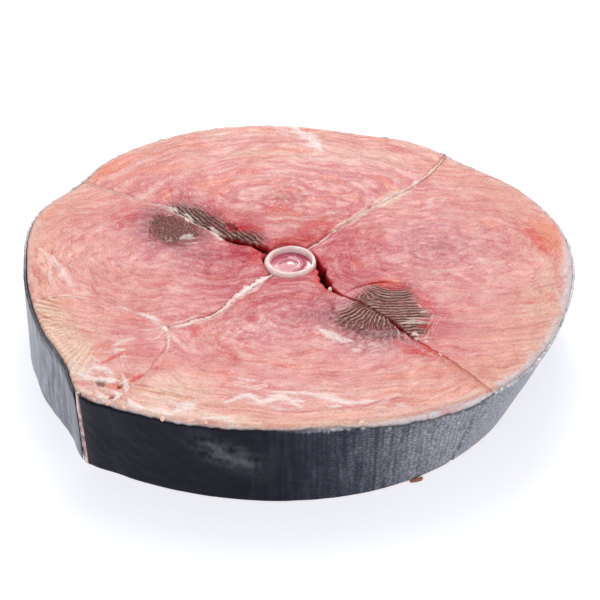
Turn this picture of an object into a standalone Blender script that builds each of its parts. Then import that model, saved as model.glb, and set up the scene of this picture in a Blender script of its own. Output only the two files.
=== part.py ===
"""Bonito steak: a round slice sawn across the fish, lying on its lower cut face.

Metres, +Z up. The slice is drawn in plan about the backbone's axis: the back of the fish is towards -Y,
its belly towards +Y, and its two sides towards -X and +X. Four loins meet at the backbone along four
seams. Each seam is a smooth line from the backbone to the skin, and what lies beside it (a septum, a lens
of dark muscle, a loin's edge) is set off from that line. Below the top face the whole slice draws in
towards its lower face, which is smaller on one side. An empty moves the slice so that the middle of its
box is at the origin, with the lower face at z = 0.
"""

import bmesh
import bpy
import numpy as np

MM = 0.001

# The slice
THICKNESS = 24.0 * MM
GAP = 0.3 * MM              # clearance between neighbours
SKIN = 0.9 * MM             # thickness of the skin
SKIN_LIFT = 1.0 * MM        # the skin's lower edge above the lower face
SKIN_DROP = 0.9 * MM        # the skin's upper edge below the top face
SEPTUM_LIFT = 0.5 * MM      # a septum's lower edge above the lower face
SEPTUM_DROP = 0.7 * MM      # a septum's upper edge below the top face

# Outer radius of the top face by angle, in mm: a ridge along the back at 270 degrees, shallow grooves at
# the belly (90) and at the side line (190)
TOP_RADIUS = {
    0: 75.6, 25: 76.2, 55: 78.8, 72: 78.0, 90: 74.9, 100: 76.3, 117: 74.9, 150: 78.7, 178: 78.5,
    190: 75.4, 201: 77.3, 225: 72.6, 246: 71.0, 262: 72.2, 270: 76.2, 278: 74.6, 296: 71.2,
    322: 69.4, 342: 72.4,
}  # fmt: skip

# How far the lower face's edge lies inside the top face's, in mm by angle
UNDERCUT = {
    0: 8.0, 11: 9.4, 28: 7.6, 60: 3.6, 110: 2.0, 170: 1.0, 210: 0.2, 255: -0.8, 276: 1.2,
    300: 0.3, 324: 0.2, 342: 3.6,
}  # fmt: skip

# Backbone
BONE_RADIUS = 7.1 * MM
BONE_WAIST = 0.5 * MM       # how much the bone narrows at its middle
BONE_WALL = 1.6 * MM
BONE_PROUD = 1.2 * MM       # the bone's rim above the top face
BONE_LIP = 0.3 * MM         # how much the bone draws in at that rim
PULP_SUNK = 0.6 * MM
PULP_DIP = 0.4 * MM         # how far the pulp's middle lies below its rim
PULP_FLAT = 0.6             # share of its radius where the dip begins

# Seams from the backbone outwards, x and y in mm; each runs a little past the skin
FORK = (-2.8, -43.4)
BELLY_SEAM = [(-0.6, 5.0), (-1.2, 20.0), (-1.6, 36.0), (-0.8, 56.0), (-3.0, 68.0), (-5.6, 78.0)]
BACK_SEAM = [(0.6, -5.0), (0.3, -16.5), (1.8, -28.0), (0.2, -37.0), (-1.7, -41.2), FORK]
FIN_SEAM_LEFT = [FORK, (-5.2, -43.6), (-12.2, -44.6), (-23.5, -47.8), (-32.8, -53.0), (-41.0, -66.0)]
FIN_SEAM_RIGHT = [FORK, (-1.1, -45.0), (2.6, -49.0), (5.4, -55.0), (7.6, -62.5), (12.0, -79.0)]
LEFT_SEAM = [(-5.0, -1.6), (-12.0, -2.6), (-19.0, -4.2), (-28.0, -4.2), (-45.0, -4.8), (-60.6, -8.0),
             (-79.0, -11.6)]  # fmt: skip
RIGHT_SEAM = [(5.0, 5.0), (9.2, 2.6), (14.0, -0.8), (18.8, -2.3), (23.3, -1.9), (27.4, -1.0), (32.0, -1.1),
              (36.6, -1.6), (41.0, -2.9), (46.0, -3.7), (56.0, -3.9), (80.0, -7.6)]  # fmt: skip

# Thickness of the septum that stands in a seam
BELLY_SEPTUM = 0.8 * MM
BACK_SEPTUM = 1.5 * MM
FIN_SEPTUM = 0.4 * MM
LEFT_SEPTUM = 0.5 * MM
LEFT_SEPTUM_FROM = 24.0 * MM    # the left septum begins this far along its seam
FORK_SHORT = 2.2 * MM           # the back's septum ends this far before the fork
FORK_CLEAR = 3.6 * MM           # the fin's septa begin this far past it
FIN_TIP = 3.8 * MM              # and so does the fin's muscle

# Open cracks: half width on each side of the seam, by distance along it in mm, closing with depth
CRACK_DEPTH = 12.0 * MM
LEFT_CRACK_BELLY_SIDE = ([0, 4, 8, 16, 24], [1.8, 1.2, 0.6, 0.4, 0.0])
LEFT_CRACK_BACK_SIDE = ([0, 4, 8, 14, 20], [0.8, 0.7, 0.6, 0.3, 0.0])
RIGHT_CRACK = ([0, 5, 14, 30, 44, 54], [0.8, 0.9, 0.7, 0.5, 0.3, 0.0])
NO_CRACK = ([0, 1], [0.0, 0.0])

# Lenses of dark muscle beside a seam: from and to along the seam, width, and where the widest place is,
# as a share of the length; widths and lengths in mm
LENS_BELLY_RIGHT = (18.0, 46.5, 13.0, 0.42)
LENS_BACK_RIGHT = (17.0, 39.0, 10.4, 0.45)
LENS_BELLY_LEFT = (9.0, 40.0, 5.6, 0.66)
LENS_BACK_LEFT = (21.5, 41.0, 12.6, 0.50)
LENS_GAP = 0.5 * MM         # clearance between a lens and the bay that it lies in

# Form of the top face
EDGE_FALL = 1.1 * MM        # how far a piece's rim falls below its top
FALL_SHARE = 0.0625         # over this share of the piece's width
CROWN = 0.7 * MM            # how far a loin swells in its middle
LENS_CROWN = 0.3 * MM       # and a lens of dark muscle
RIPPLE = 0.25 * MM          # layers of the muscle, as rings round each loin's middle
RIPPLE_PITCH = 12.0 * MM
RIPPLE_SHARE = 0.125        # they begin over this share of the piece's width
PROUD_EDGE = 2.2 * MM       # the belly's left loin stands up beside the crack
PROUD_AT = (-13.0 * MM, 5.0 * MM)
PROUD_REACH = 11.0 * MM

# Divisions
LOIN_ACROSS = 18
LOIN_INNER = 3              # rows of a loin inside its bay, and outside it
LOIN_OUTER = 7
LENS_STEPS = 12             # rows along a bay; the lens itself leaves out the first and last few
LENS_CUT = 2
LENS_ACROSS = 4
FIN_ACROSS = 11
FIN_ALONG = 9
WALL_DEPTHS = (0.0, 0.10, 0.28, 0.55, 1.0)      # shares of the thickness
SKIN_STATIONS = 42
SKIN_LEVELS = 5
SEPTUM_LEVELS = 4
BONE_STEPS = 28
EASE = 0.11                 # how much finer the steps are at both ends of a row

SKIN_SPLIT_BACK = (269.2, 270.9)    # the two skins end either side of the back's ridge, in degrees
SKIN_SPLIT_BELLY = (93.6, 94.4)


def ring_value(table, angle):
    """Value in metres at an angle in radians: a smooth cubic through the table, closed on itself."""
    at = np.array(sorted(table), float)
    value = np.array([table[key] for key in sorted(table)], float)
    at = np.concatenate([at[-2:] - 360, at, at[:2] + 360])
    value = np.concatenate([value[-2:], value, value[:2]])
    slope = np.gradient(value, at)
    turn = np.degrees(angle) % 360
    i = np.clip(np.searchsorted(at, turn, side="right") - 1, 1, len(at) - 3)
    step = at[i + 1] - at[i]
    f = (turn - at[i]) / step
    start = (1 + 2 * f) * (1 - f) ** 2 * value[i] + f * (1 - f) ** 2 * step * slope[i]
    end = f**2 * (3 - 2 * f) * value[i + 1] - f**2 * (1 - f) * step * slope[i + 1]
    return (start + end) * MM


def outline(angle, inside=0.0):
    """Points of the top face's outer edge, moved in towards the backbone by a distance."""
    radius = ring_value(TOP_RADIUS, angle) - inside
    return np.stack([radius * np.cos(angle), radius * np.sin(angle)], axis=-1)


def taper(points, depth):
    """Draws plan points in at a depth below the top face, most at the skin and none at the backbone."""
    radius = np.linalg.norm(points, axis=-1)
    angle = np.arctan2(points[..., 1], points[..., 0])
    share = np.clip(radius / ring_value(TOP_RADIUS, angle), 0, 1.05)
    drawn = ring_value(UNDERCUT, angle) * share**3 * depth / THICKNESS
    return points * (1 - drawn / np.maximum(radius, MM))[..., None]


def smooth_line(points, count=500):
    """Evenly many points on a Catmull-Rom curve through the given ones."""
    p = np.asarray(points, float) * MM
    p = np.vstack([2 * p[0] - p[1], p, 2 * p[-1] - p[-2]])
    t = np.linspace(0, len(p) - 3 - 1e-9, count)
    i = t.astype(int)
    f = (t - i)[:, None]
    a, b, c, d = p[i], p[i + 1], p[i + 2], p[i + 3]
    return b + 0.5 * f * (c - a + f * (2 * a - 5 * b + 4 * c - d + f * (3 * b - a - 3 * c + d)))


def lengths(points):
    """Distance along a line of points, from its first."""
    steps = np.linalg.norm(np.diff(points, axis=0), axis=1)
    return np.concatenate([[0], np.cumsum(steps)])


def at_distance(points, along, want):
    """Points of a line at wanted distances, where along gives the distance of each of its points."""
    return np.stack([np.interp(want, along, points[:, k]) for k in range(2)], axis=-1)


def at_share(points, share):
    """Points at shares of a line's length."""
    along = lengths(points)
    return at_distance(points, along, share * along[-1])


def left_normals(points):
    """Unit normals on the left of a line, seen along it."""
    way = np.gradient(points, axis=0)
    way /= np.linalg.norm(way, axis=1)[:, None]
    return np.stack([-way[:, 1], way[:, 0]], axis=-1)


def lens_width(lens, along):
    """Width of a lens of dark muscle by distance along its seam: a skewed half sine."""
    if lens is None:
        return np.zeros_like(along)
    start, end, width, widest = lens
    share = np.clip((along / MM - start) / (end - start), 0, 1)
    skew = np.log(0.5) / np.log(widest)
    return width * MM * np.sin(np.pi * share**skew) ** 0.8


def crack_width(crack, along, depth):
    """Half width of an open crack, closing towards its foot."""
    stations, widths = crack
    closing = max(0.0, 1 - depth / CRACK_DEPTH)
    return np.interp(along / MM, stations, widths) * MM * closing


class Seam:
    """A seam in plan: its line, the septum in it, and on its left and right a crack and a lens."""

    def __init__(self, points, septum=((0, 1), (0, 0)), cracks=(NO_CRACK, NO_CRACK), lenses=(None, None)):
        self.line = smooth_line(points)
        self.normals = left_normals(self.line)
        self.along = lengths(self.line)
        self.half_septum = np.interp(self.along, *septum)
        self.cracks = dict(zip((1, -1), cracks))
        self.lenses = dict(zip((1, -1), lenses))

    def edge(self, side, depth):
        """Distance from the line to the nearest solid on one side (1 left, -1 right)."""
        return self.half_septum + GAP + crack_width(self.cracks[side], self.along, depth)

    def offset(self, side, distance):
        """The line moved to one side by a distance at each point."""
        return self.line + side * self.normals * distance[:, None]

    def loin_side(self, side, depth):
        """The edge of the loin on one side, round the lens of dark muscle if there is one."""
        width = lens_width(self.lenses[side], self.along)
        return self.offset(side, self.edge(side, depth) + width)


def clip_range(line, start_radius, end_inside):
    """First and last place of a line between a circle round the backbone and the inside of the skin."""
    radius = np.linalg.norm(line, axis=1)
    angle = np.arctan2(line[:, 1], line[:, 0])
    limit = ring_value(TOP_RADIUS, angle) - end_inside
    first = int(np.argmax(radius > start_radius))
    last = first + int(np.argmax(radius[first:] > limit[first:])) - 1
    return first, last


def lens_stations(lens):
    """Distances along a seam from one end of a lens to the other, closer together at its ends."""
    start, end = lens[0] * MM, lens[1] * MM
    return start + (end - start) * (1 - np.cos(np.linspace(0, np.pi, LENS_STEPS + 1))) / 2


def side_stations(lens, first, last):
    """Distances along a seam for the rows of a loin: even, but in a lens's bay those of the lens."""
    if lens is None:
        return np.linspace(first, last, LOIN_INNER + LENS_STEPS + LOIN_OUTER + 1)
    bay = lens_stations(lens)
    inner = np.linspace(first, bay[0], LOIN_INNER + 1)[:-1]
    outer = np.linspace(bay[-1], last, LOIN_OUTER + 1)[1:]
    return np.concatenate([inner, bay, outer])


def coons(low, high, start, end, u, v):
    """Plan points of a patch between four edges: low and high run with u, start and end with v."""
    uu, vv = u[:, None, None], v[None, :, None]
    blend = (1 - vv) * low[:, None] + vv * high[:, None] + (1 - uu) * start[None] + uu * end[None]
    corners = (1 - uu) * ((1 - vv) * low[0] + vv * high[0]) + uu * ((1 - vv) * low[-1] + vv * high[-1])
    return blend - corners


def arc_between(first, last, radius, u):
    """Points that turn anticlockwise from one corner to the next, at a radius given by angle."""
    start = np.arctan2(first[1], first[0])
    sweep = (np.arctan2(last[1], last[0]) - start) % (2 * np.pi)
    angle = start + u * sweep
    r = radius(angle)
    return np.stack([r * np.cos(angle), r * np.sin(angle)], axis=-1)


def flesh_radius(angle):
    """Outer radius of the flesh, inside the skin."""
    return ring_value(TOP_RADIUS, angle) - SKIN - GAP


def bone_clearance(angle):
    """Inner radius of the loins, round the backbone."""
    return np.full_like(angle, BONE_RADIUS + GAP)


def eased(count):
    """Shares from 0 to 1 with finer steps at both ends."""
    share = np.linspace(0, 1, count + 1)
    return share - EASE * np.sin(2 * np.pi * share)


def sector_patch(seam_a, seam_b, depth, u, tip=None):
    """Patch from the left side of one seam to the right side of the next, and the shares of its rows.
    Its inner end is an arc round the bone, or a blunt tip some way along the seams."""
    lines = (seam_a.loin_side(1, depth), seam_b.loin_side(-1, depth))
    seams = (seam_a, seam_b)
    if tip is None:
        ends = [clip_range(line, BONE_RADIUS + GAP, SKIN + GAP) for line in lines]
    else:
        starts = [int(np.argmax(seam.along > tip)) for seam in seams]
        ends = [(k, clip_range(line, 0, SKIN + GAP)[1]) for k, line in zip(starts, lines)]
    reach = [(seam.along[first], seam.along[last]) for seam, (first, last) in zip(seams, ends)]
    leader = 1 if seam_b.lenses[-1] else 0
    lens = seams[leader].lenses[(1, -1)[leader]]
    if tip is None:
        stations = side_stations(lens, *reach[leader])
    else:
        stations = np.linspace(*reach[leader], FIN_ALONG + 1)
    v = (stations - stations[0]) / (stations[-1] - stations[0])
    sides = [
        at_distance(line, seam.along, span[0] + v * (span[1] - span[0]))
        for line, seam, span in zip(lines, seams, reach)
    ]
    a, b = sides
    if tip is None:
        low = arc_between(a[0], b[0], bone_clearance, u)
    else:
        low = a[0] + (b[0] - a[0]) * u[:, None]
    high = arc_between(a[-1], b[-1], flesh_radius, u)
    return taper(coons(low, high, a, b, u, v), depth), v


def top_height(plan, u, v, crown, ripple=0.0):
    """Height of a piece's top face: fallen rims, a crown in the middle and low rings round it."""
    uu, vv = u[:, None], v[None, :]
    rim = np.minimum(np.minimum(uu, 1 - uu), np.minimum(vv, 1 - vv))
    swell = (1 - (2 * uu - 1) ** 4) * (1 - (2 * vv - 1) ** 4)
    middle = plan.mean(axis=(0, 1))
    ring = np.linalg.norm(plan - middle, axis=-1)
    low = EDGE_FALL * (1 - np.clip(rim / FALL_SHARE, 0, 1)) ** 2
    waves = ripple * np.sin(2 * np.pi * ring / RIPPLE_PITCH) * np.clip(rim / RIPPLE_SHARE, 0, 1)
    return THICKNESS + crown * swell - low + waves


def proud(plan):
    """Extra height where a loin's inner corner stands up beside the crack."""
    away = np.linalg.norm(plan - np.array(PROUD_AT), axis=-1)
    return PROUD_EDGE * np.exp(-((away / PROUD_REACH) ** 2))


def grid_solid(name, shape, top_z):
    """Solid under a grid: its top is the patch at no depth, its walls go down through the patch's edge
    at each depth, and one flat face closes it below. shape(depth) gives the patch's plan points."""
    u_count, v_count = top_z.shape[0] - 1, top_z.shape[1] - 1
    bm = bmesh.new()
    column = bm.verts.layers.int.new("column")
    row = bm.verts.layers.int.new("row")
    bmesh.ops.create_grid(bm, x_segments=u_count, y_segments=v_count, size=1.0)
    plan = shape(0.0)
    for vert in bm.verts:
        vert[column] = round((vert.co.x + 1) / 2 * u_count)
        vert[row] = round((vert.co.y + 1) / 2 * v_count)
        x, y = plan[vert[column], vert[row]]
        vert.co = (x, y, top_z[vert[column], vert[row]])
    edges = [edge for edge in bm.edges if edge.is_boundary]
    for share in WALL_DEPTHS[1:]:
        level = shape(share * THICKNESS)
        grown = bmesh.ops.extrude_edge_only(bm, edges=edges)["geom"]
        for vert in (item for item in grown if isinstance(item, bmesh.types.BMVert)):
            i, j = vert[column], vert[row]
            vert.co = (*level[i, j], top_z[i, j] * (1 - share))
        edges = [item for item in grown if isinstance(item, bmesh.types.BMEdge) and item.is_boundary]
    bmesh.ops.holes_fill(bm, edges=edges, sides=0)
    bmesh.ops.recalc_face_normals(bm, faces=bm.faces)
    return new_object(name, bm)


def strip_shell(name, points, thickness, centred):
    """Thin shell: an open strip of points, stations by levels by xyz, with Solidify. The strip is the
    shell's middle, or its outer face where the stations run anticlockwise and the levels down."""
    stations, levels = points.shape[:2]
    bm = bmesh.new()
    bmesh.ops.create_grid(bm, x_segments=stations - 1, y_segments=levels - 1, size=1.0)
    for vert in bm.verts:
        i = round((vert.co.x + 1) / 2 * (stations - 1))
        j = round((vert.co.y + 1) / 2 * (levels - 1))
        vert.co = points[i, j]
    obj = new_object(name, bm)
    wall = obj.modifiers.new("wall", "SOLIDIFY")
    wall.thickness = thickness
    wall.offset = 0.0 if centred else 1.0
    wall.use_even_offset = True
    return obj


def turned_solid(name, profile):
    """Solid turned about Z from a profile of radii and heights that runs down its outer side."""
    mesh = bpy.data.meshes.new(name)
    verts = [(radius, 0, height) for radius, height in profile]
    edges = [(i, i + 1) for i in range(len(verts) - 1)]
    if profile[0][0] > 0:
        edges.append((len(verts) - 1, 0))
    mesh.from_pydata(verts, edges, [])
    obj = link(bpy.data.objects.new(name, mesh))
    turn = obj.modifiers.new("turn", "SCREW")
    turn.steps = BONE_STEPS
    turn.render_steps = BONE_STEPS
    turn.use_merge_vertices = True
    turn.merge_threshold = 0.00001
    return obj


def new_object(name, bm):
    """Object from a bmesh, flat shaded, in the steak's collection."""
    mesh = bpy.data.meshes.new(name)
    bm.to_mesh(mesh)
    bm.free()
    return link(bpy.data.objects.new(name, mesh))


def link(obj):
    """Puts an object in the steak's collection, under the empty that places the slice."""
    bpy.data.collections["bonito_steak"].objects.link(obj)
    obj.parent = bpy.data.objects["slice_axis"]
    return obj


def finish(obj, name, colour, roughness):
    """Gives an object its own Principled material."""
    material = bpy.data.materials.new(name)
    material.use_nodes = True
    shader = material.node_tree.nodes["Principled BSDF"]
    shader.inputs["Base Color"].default_value = (*colour, 1)
    shader.inputs["Roughness"].default_value = roughness
    obj.data.materials.append(material)


# Linear colours read off the fish
FLESH = (0.73, 0.26, 0.22)
FLESH_PALE = (0.78, 0.38, 0.28)
DARK_FLESH = (0.13, 0.07, 0.055)
WHITE_TISSUE = (0.86, 0.68, 0.60)
BONE = (0.85, 0.66, 0.64)
PULP = (0.70, 0.25, 0.33)
DARK_SKIN = (0.022, 0.026, 0.042)


def make_seams(fork):
    """The seams by name, with what stands in them. The fin's seams continue the back's past the fork."""
    belly = Seam(BELLY_SEAM, septum=((0, 1), (BELLY_SEPTUM / 2,) * 2))
    septum = ((0, fork, fork + FORK_CLEAR), (BACK_SEPTUM / 2, BACK_SEPTUM / 2, FIN_SEPTUM / 2))
    back_left = Seam(BACK_SEAM + FIN_SEAM_LEFT[1:], septum)
    back_right = Seam(BACK_SEAM + FIN_SEAM_RIGHT[1:], septum)
    left_septum = ((0, LEFT_SEPTUM_FROM - 3 * MM, LEFT_SEPTUM_FROM), (0, 0, LEFT_SEPTUM / 2))
    left_cracks = (LEFT_CRACK_BACK_SIDE, LEFT_CRACK_BELLY_SIDE)
    left = Seam(LEFT_SEAM, left_septum, left_cracks, (LENS_BACK_LEFT, LENS_BELLY_LEFT))
    right = Seam(RIGHT_SEAM, cracks=(RIGHT_CRACK, RIGHT_CRACK), lenses=(LENS_BELLY_RIGHT, LENS_BACK_RIGHT))
    return {"belly": belly, "back_left": back_left, "back_right": back_right, "left": left, "right": right}


def make_loin(name, seam_a, seam_b, lifted=False):
    """A loin from the left side of one seam anticlockwise to the right side of the next."""
    u = eased(LOIN_ACROSS)
    plan, v = sector_patch(seam_a, seam_b, 0.0, u)
    top = top_height(plan, u, v, CROWN, RIPPLE)
    if lifted:
        top = top + proud(plan)
    obj = grid_solid(name, lambda depth: sector_patch(seam_a, seam_b, depth, u)[0], top)
    finish(obj, name + "_flesh", FLESH, 0.4)


def make_fin_base(left, right, tip):
    """The wedge of muscle at the root of the back fin, between the two arms of the fork."""
    u = eased(FIN_ACROSS)
    plan, v = sector_patch(left, right, 0.0, u, tip)
    top = top_height(plan, u, v, 0.0)
    obj = grid_solid("fin_base", lambda depth: sector_patch(left, right, depth, u, tip)[0], top)
    finish(obj, "fin_base_flesh", FLESH_PALE, 0.45)


def make_dark_muscle(name, seam, side):
    """A lens of dark muscle on one side of a seam, between the seam and the bay in the loin."""
    width = lens_width(seam.lenses[side], seam.along)
    slope = np.gradient(width, seam.along)
    solid = width - LENS_GAP * np.sqrt(1 + slope**2)
    stations = lens_stations(seam.lenses[side])[LENS_CUT:-LENS_CUT]
    u = np.linspace(0, 1, len(stations))
    v = np.linspace(0, 1, LENS_ACROSS + 1)

    def shape(depth):
        near = seam.edge(side, depth)
        lines = [seam.offset(side, near + share * solid) for share in v]
        rows = [at_distance(line, seam.along, stations) for line in lines]
        return taper(np.stack(rows, axis=1), depth)

    obj = grid_solid(name, shape, top_height(shape(0.0), u, v, LENS_CROWN))
    finish(obj, name + "_flesh", DARK_FLESH, 0.5)


def make_septum(name, seam, thickness, count, start=0.0, end=None):
    """A white septum that stands in a seam through the whole slice, to the skin unless an end is given."""
    first, last = clip_range(seam.line, BONE_RADIUS + 2 * GAP, SKIN + GAP)
    first = max(first, int(np.argmax(seam.along >= start)))
    if end is not None:
        last = int(np.argmax(seam.along > end))
    line = seam.line[first : last + 1]
    shares = np.linspace(0, 1, count)
    levels = []
    for share in np.linspace(0, 1, SEPTUM_LEVELS):
        plan = taper(at_share(line, shares), share * THICKNESS)
        z = (THICKNESS - SEPTUM_DROP) * (1 - share) + SEPTUM_LIFT * share
        levels.append(np.column_stack([plan, np.full(count, z)]))
    obj = strip_shell(name, np.stack(levels, axis=1), thickness, centred=True)
    finish(obj, name + "_tissue", WHITE_TISSUE, 0.45)


def make_skin(name, start, end):
    """Half of the skin, an upright band from one angle anticlockwise to another, in degrees. It stands off
    the flesh's walls by the clearance, and they start at the fallen rim of the top face."""
    angle = np.radians(np.linspace(start, end, SKIN_STATIONS))
    levels = []
    for share in np.linspace(0, 1, SKIN_LEVELS):
        z = (THICKNESS - SKIN_DROP) * (1 - share) + SKIN_LIFT * share
        down_wall = max(0.0, 1 - z / (THICKNESS - EDGE_FALL))
        flesh = taper(outline(angle, SKIN + GAP), down_wall * THICKNESS)
        plan = flesh * (1 + (SKIN + GAP) / np.linalg.norm(flesh, axis=1))[:, None]
        levels.append(np.column_stack([plan, np.full(len(angle), z)]))
    obj = strip_shell(name, np.stack(levels, axis=1), SKIN, centred=False)
    finish(obj, name + "_hide", DARK_SKIN, 0.3)


def make_backbone():
    """A vertebra cut across: a bone ring, narrower at its middle, and the pulp inside it."""
    levels = np.array([THICKNESS + BONE_PROUD, THICKNESS, THICKNESS * 0.5, 0.0])
    outer = np.array([BONE_RADIUS - BONE_LIP, BONE_RADIUS, BONE_RADIUS - BONE_WAIST, BONE_RADIUS])
    inner = outer - BONE_WALL
    ring = turned_solid("backbone_ring", [*zip(outer, levels), *zip(inner[::-1], levels[::-1])])
    finish(ring, "bone", BONE, 0.35)
    top = THICKNESS - PULP_SUNK
    clear = inner - GAP
    upper = [(0, top - PULP_DIP), (clear[1] * PULP_FLAT, top), (clear[1], top)]
    lower = [(clear[2], levels[2]), (clear[3], 0), (0, 0)]
    core = turned_solid("backbone_pulp", upper + lower)
    finish(core, "pulp", PULP, 0.2)


def slice_middle():
    """Middle of the slice's box in plan, from its outline at the top and at the lower face."""
    angle = np.linspace(0, 2 * np.pi, 721)
    both = np.vstack([outline(angle), taper(outline(angle), THICKNESS)])
    return (both.max(axis=0) + both.min(axis=0)) / 2


def main():
    """Clears the scene and models the steak."""
    for obj in list(bpy.data.objects):
        bpy.data.objects.remove(obj, do_unlink=True)
    collection = bpy.data.collections.new("bonito_steak")
    bpy.context.scene.collection.children.link(collection)
    axis = bpy.data.objects.new("slice_axis", None)
    collection.objects.link(axis)
    axis.location = (*-slice_middle(), 0)

    fork = lengths(smooth_line(BACK_SEAM))[-1]
    seams = make_seams(fork)
    make_loin("loin_belly_right", seams["right"], seams["belly"])
    make_loin("loin_belly_left", seams["belly"], seams["left"], lifted=True)
    make_loin("loin_back_left", seams["left"], seams["back_left"])
    make_loin("loin_back_right", seams["back_right"], seams["right"])
    make_fin_base(seams["back_left"], seams["back_right"], fork + FIN_TIP)
    make_dark_muscle("dark_belly_right", seams["right"], 1)
    make_dark_muscle("dark_back_right", seams["right"], -1)
    make_dark_muscle("dark_back_left", seams["left"], 1)
    make_dark_muscle("dark_belly_left", seams["left"], -1)
    make_septum("septum_belly", seams["belly"], BELLY_SEPTUM, 16)
    make_septum("septum_back", seams["back_left"], BACK_SEPTUM, 11, end=fork - FORK_SHORT)
    make_septum("septum_fin_left", seams["back_left"], FIN_SEPTUM, 12, start=fork + FORK_CLEAR)
    make_septum("septum_fin_right", seams["back_right"], FIN_SEPTUM, 12, start=fork + FORK_CLEAR)
    make_septum("septum_left", seams["left"], LEFT_SEPTUM, 12, start=LEFT_SEPTUM_FROM)
    make_skin("skin_left", SKIN_SPLIT_BELLY[1], SKIN_SPLIT_BACK[0])
    make_skin("skin_right", SKIN_SPLIT_BACK[1], 360 + SKIN_SPLIT_BELLY[0])
    make_backbone()


main()
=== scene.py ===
"""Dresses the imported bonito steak: raw flesh, dark muscle, bone, septa and skin as modelled surfaces.

Lengths inside this script are in millimetres about the backbone's axis, in the row's frame, and put_mesh
turns them into metres in place. The back of the fish is towards -Y and its belly towards +Y.
"""

import bpy
import numpy as np
from bpy.props import FloatProperty, FloatVectorProperty, PointerProperty
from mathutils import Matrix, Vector


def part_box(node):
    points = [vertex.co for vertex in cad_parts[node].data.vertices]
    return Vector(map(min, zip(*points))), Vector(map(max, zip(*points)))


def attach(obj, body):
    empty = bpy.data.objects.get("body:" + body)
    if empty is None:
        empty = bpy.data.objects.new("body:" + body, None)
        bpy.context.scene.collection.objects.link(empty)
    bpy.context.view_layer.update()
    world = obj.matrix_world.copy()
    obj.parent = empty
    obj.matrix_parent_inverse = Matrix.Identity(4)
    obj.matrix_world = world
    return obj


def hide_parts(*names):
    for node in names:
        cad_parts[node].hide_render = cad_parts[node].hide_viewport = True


bl_info = {
    "name": "Bonito Steak",
    "version": (1, 0, 0),
    "blender": (4, 5, 0),
    "location": "3D View > Sidebar > Steak",
    "description": "Models and finishes a raw slice of bonito around its packed solids",
    "category": "Object",
}

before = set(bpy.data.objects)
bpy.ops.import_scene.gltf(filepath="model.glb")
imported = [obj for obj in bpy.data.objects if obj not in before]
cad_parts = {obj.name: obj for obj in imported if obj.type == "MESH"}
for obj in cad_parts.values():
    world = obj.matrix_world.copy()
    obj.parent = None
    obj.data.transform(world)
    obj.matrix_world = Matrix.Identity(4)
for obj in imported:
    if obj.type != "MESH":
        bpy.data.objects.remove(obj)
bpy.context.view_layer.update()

MM = 0.001
BODY = "root"
RING_LOW, RING_HIGH = (np.array(corner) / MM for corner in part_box("backbone_ring"))
AXIS = (RING_LOW + RING_HIGH)[:2] / 2           # the backbone's axis in the row's frame
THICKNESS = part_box("fin_base")[1].z / MM        # height of the cut face
BONE_TOP = RING_HIGH[2]

# Outer radius of the cut face by angle, and how far the lower face's edge lies inside it, as in the solids
TOP_RADIUS = {
    0: 75.6, 25: 76.2, 55: 78.8, 72: 78.0, 90: 74.9, 100: 76.3, 117: 74.9, 150: 78.7, 178: 78.5,
    190: 75.4, 201: 77.3, 225: 72.6, 246: 71.0, 262: 72.2, 270: 76.2, 278: 74.6, 296: 71.2,
    322: 69.4, 342: 72.4,
}
UNDERCUT = {
    0: 8.0, 11: 9.4, 28: 7.6, 60: 3.6, 110: 2.0, 170: 1.0, 210: 0.2, 255: -0.8, 276: 1.2,
    300: 0.3, 324: 0.2, 342: 3.6,
}
SKIN = 0.9                  # its thickness
SKIN_GAP = 0.1
BONE_RADIUS = 7.1           # of the vertebra's ring, outside
BONE_WALL = 1.6
BONE_GAP = 0.3

# Seams from the backbone outwards, as in the solids
FORK = (-2.8, -43.4)
BELLY_SEAM = [(-0.6, 5.0), (-1.2, 20.0), (-1.6, 36.0), (-0.8, 56.0), (-3.0, 68.0), (-5.6, 78.0)]
BACK_SEAM = [(0.6, -5.0), (0.3, -16.5), (1.8, -28.0), (0.2, -37.0), (-1.7, -41.2), FORK]
FIN_SEAM_LEFT = [FORK, (-5.2, -43.6), (-12.2, -44.6), (-23.5, -47.8), (-32.8, -53.0), (-41.0, -66.0)]
FIN_SEAM_RIGHT = [FORK, (-1.1, -45.0), (2.6, -49.0), (5.4, -55.0), (7.6, -62.5), (12.0, -79.0)]
LEFT_SEAM = [(-5.0, -1.6), (-12.0, -2.6), (-19.0, -4.2), (-28.0, -4.2), (-45.0, -4.8), (-60.6, -8.0),
             (-79.0, -11.6)]
RIGHT_SEAM = [(5.0, 5.0), (9.2, 2.6), (14.0, -0.8), (18.8, -2.3), (23.3, -1.9), (27.4, -1.0), (32.0, -1.1),
              (36.6, -1.6), (41.0, -2.9), (46.0, -3.7), (56.0, -3.9), (80.0, -7.6)]
BELLY_SEPTUM, BACK_SEPTUM, FIN_SEPTUM, LEFT_SEPTUM = 0.8, 1.5, 0.4, 0.5
LEFT_SEPTUM_FROM = 24.0
FORK_SHORT, FORK_CLEAR, FIN_TIP = 0.6, 2.2, 1.4
CLOSED = -0.02              # flesh meets septum and dark muscle with no gap left
LAP = 0.8                   # dark muscle and the fin's root lie over their neighbours' edges by this much

# Open cracks: half width on each side of the seam, by distance along it, closing with depth
CRACK_DEPTH = 12.0
LEFT_CRACK_BELLY_SIDE = ([0, 4, 8, 16, 24], [1.8, 1.2, 0.6, 0.4, 0.0])
LEFT_CRACK_BACK_SIDE = ([0, 4, 8, 14, 20], [0.8, 0.7, 0.6, 0.3, 0.0])
RIGHT_CRACK = ([0, 5, 12, 16, 22, 28, 33, 38, 42, 54], [1.0, 1.2, 1.0, 0.45, 0.3, 0.2, 0.25, 0.5, 0.2, 0.0])
NO_CRACK = ([0, 1], [0.0, 0.0])

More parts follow.
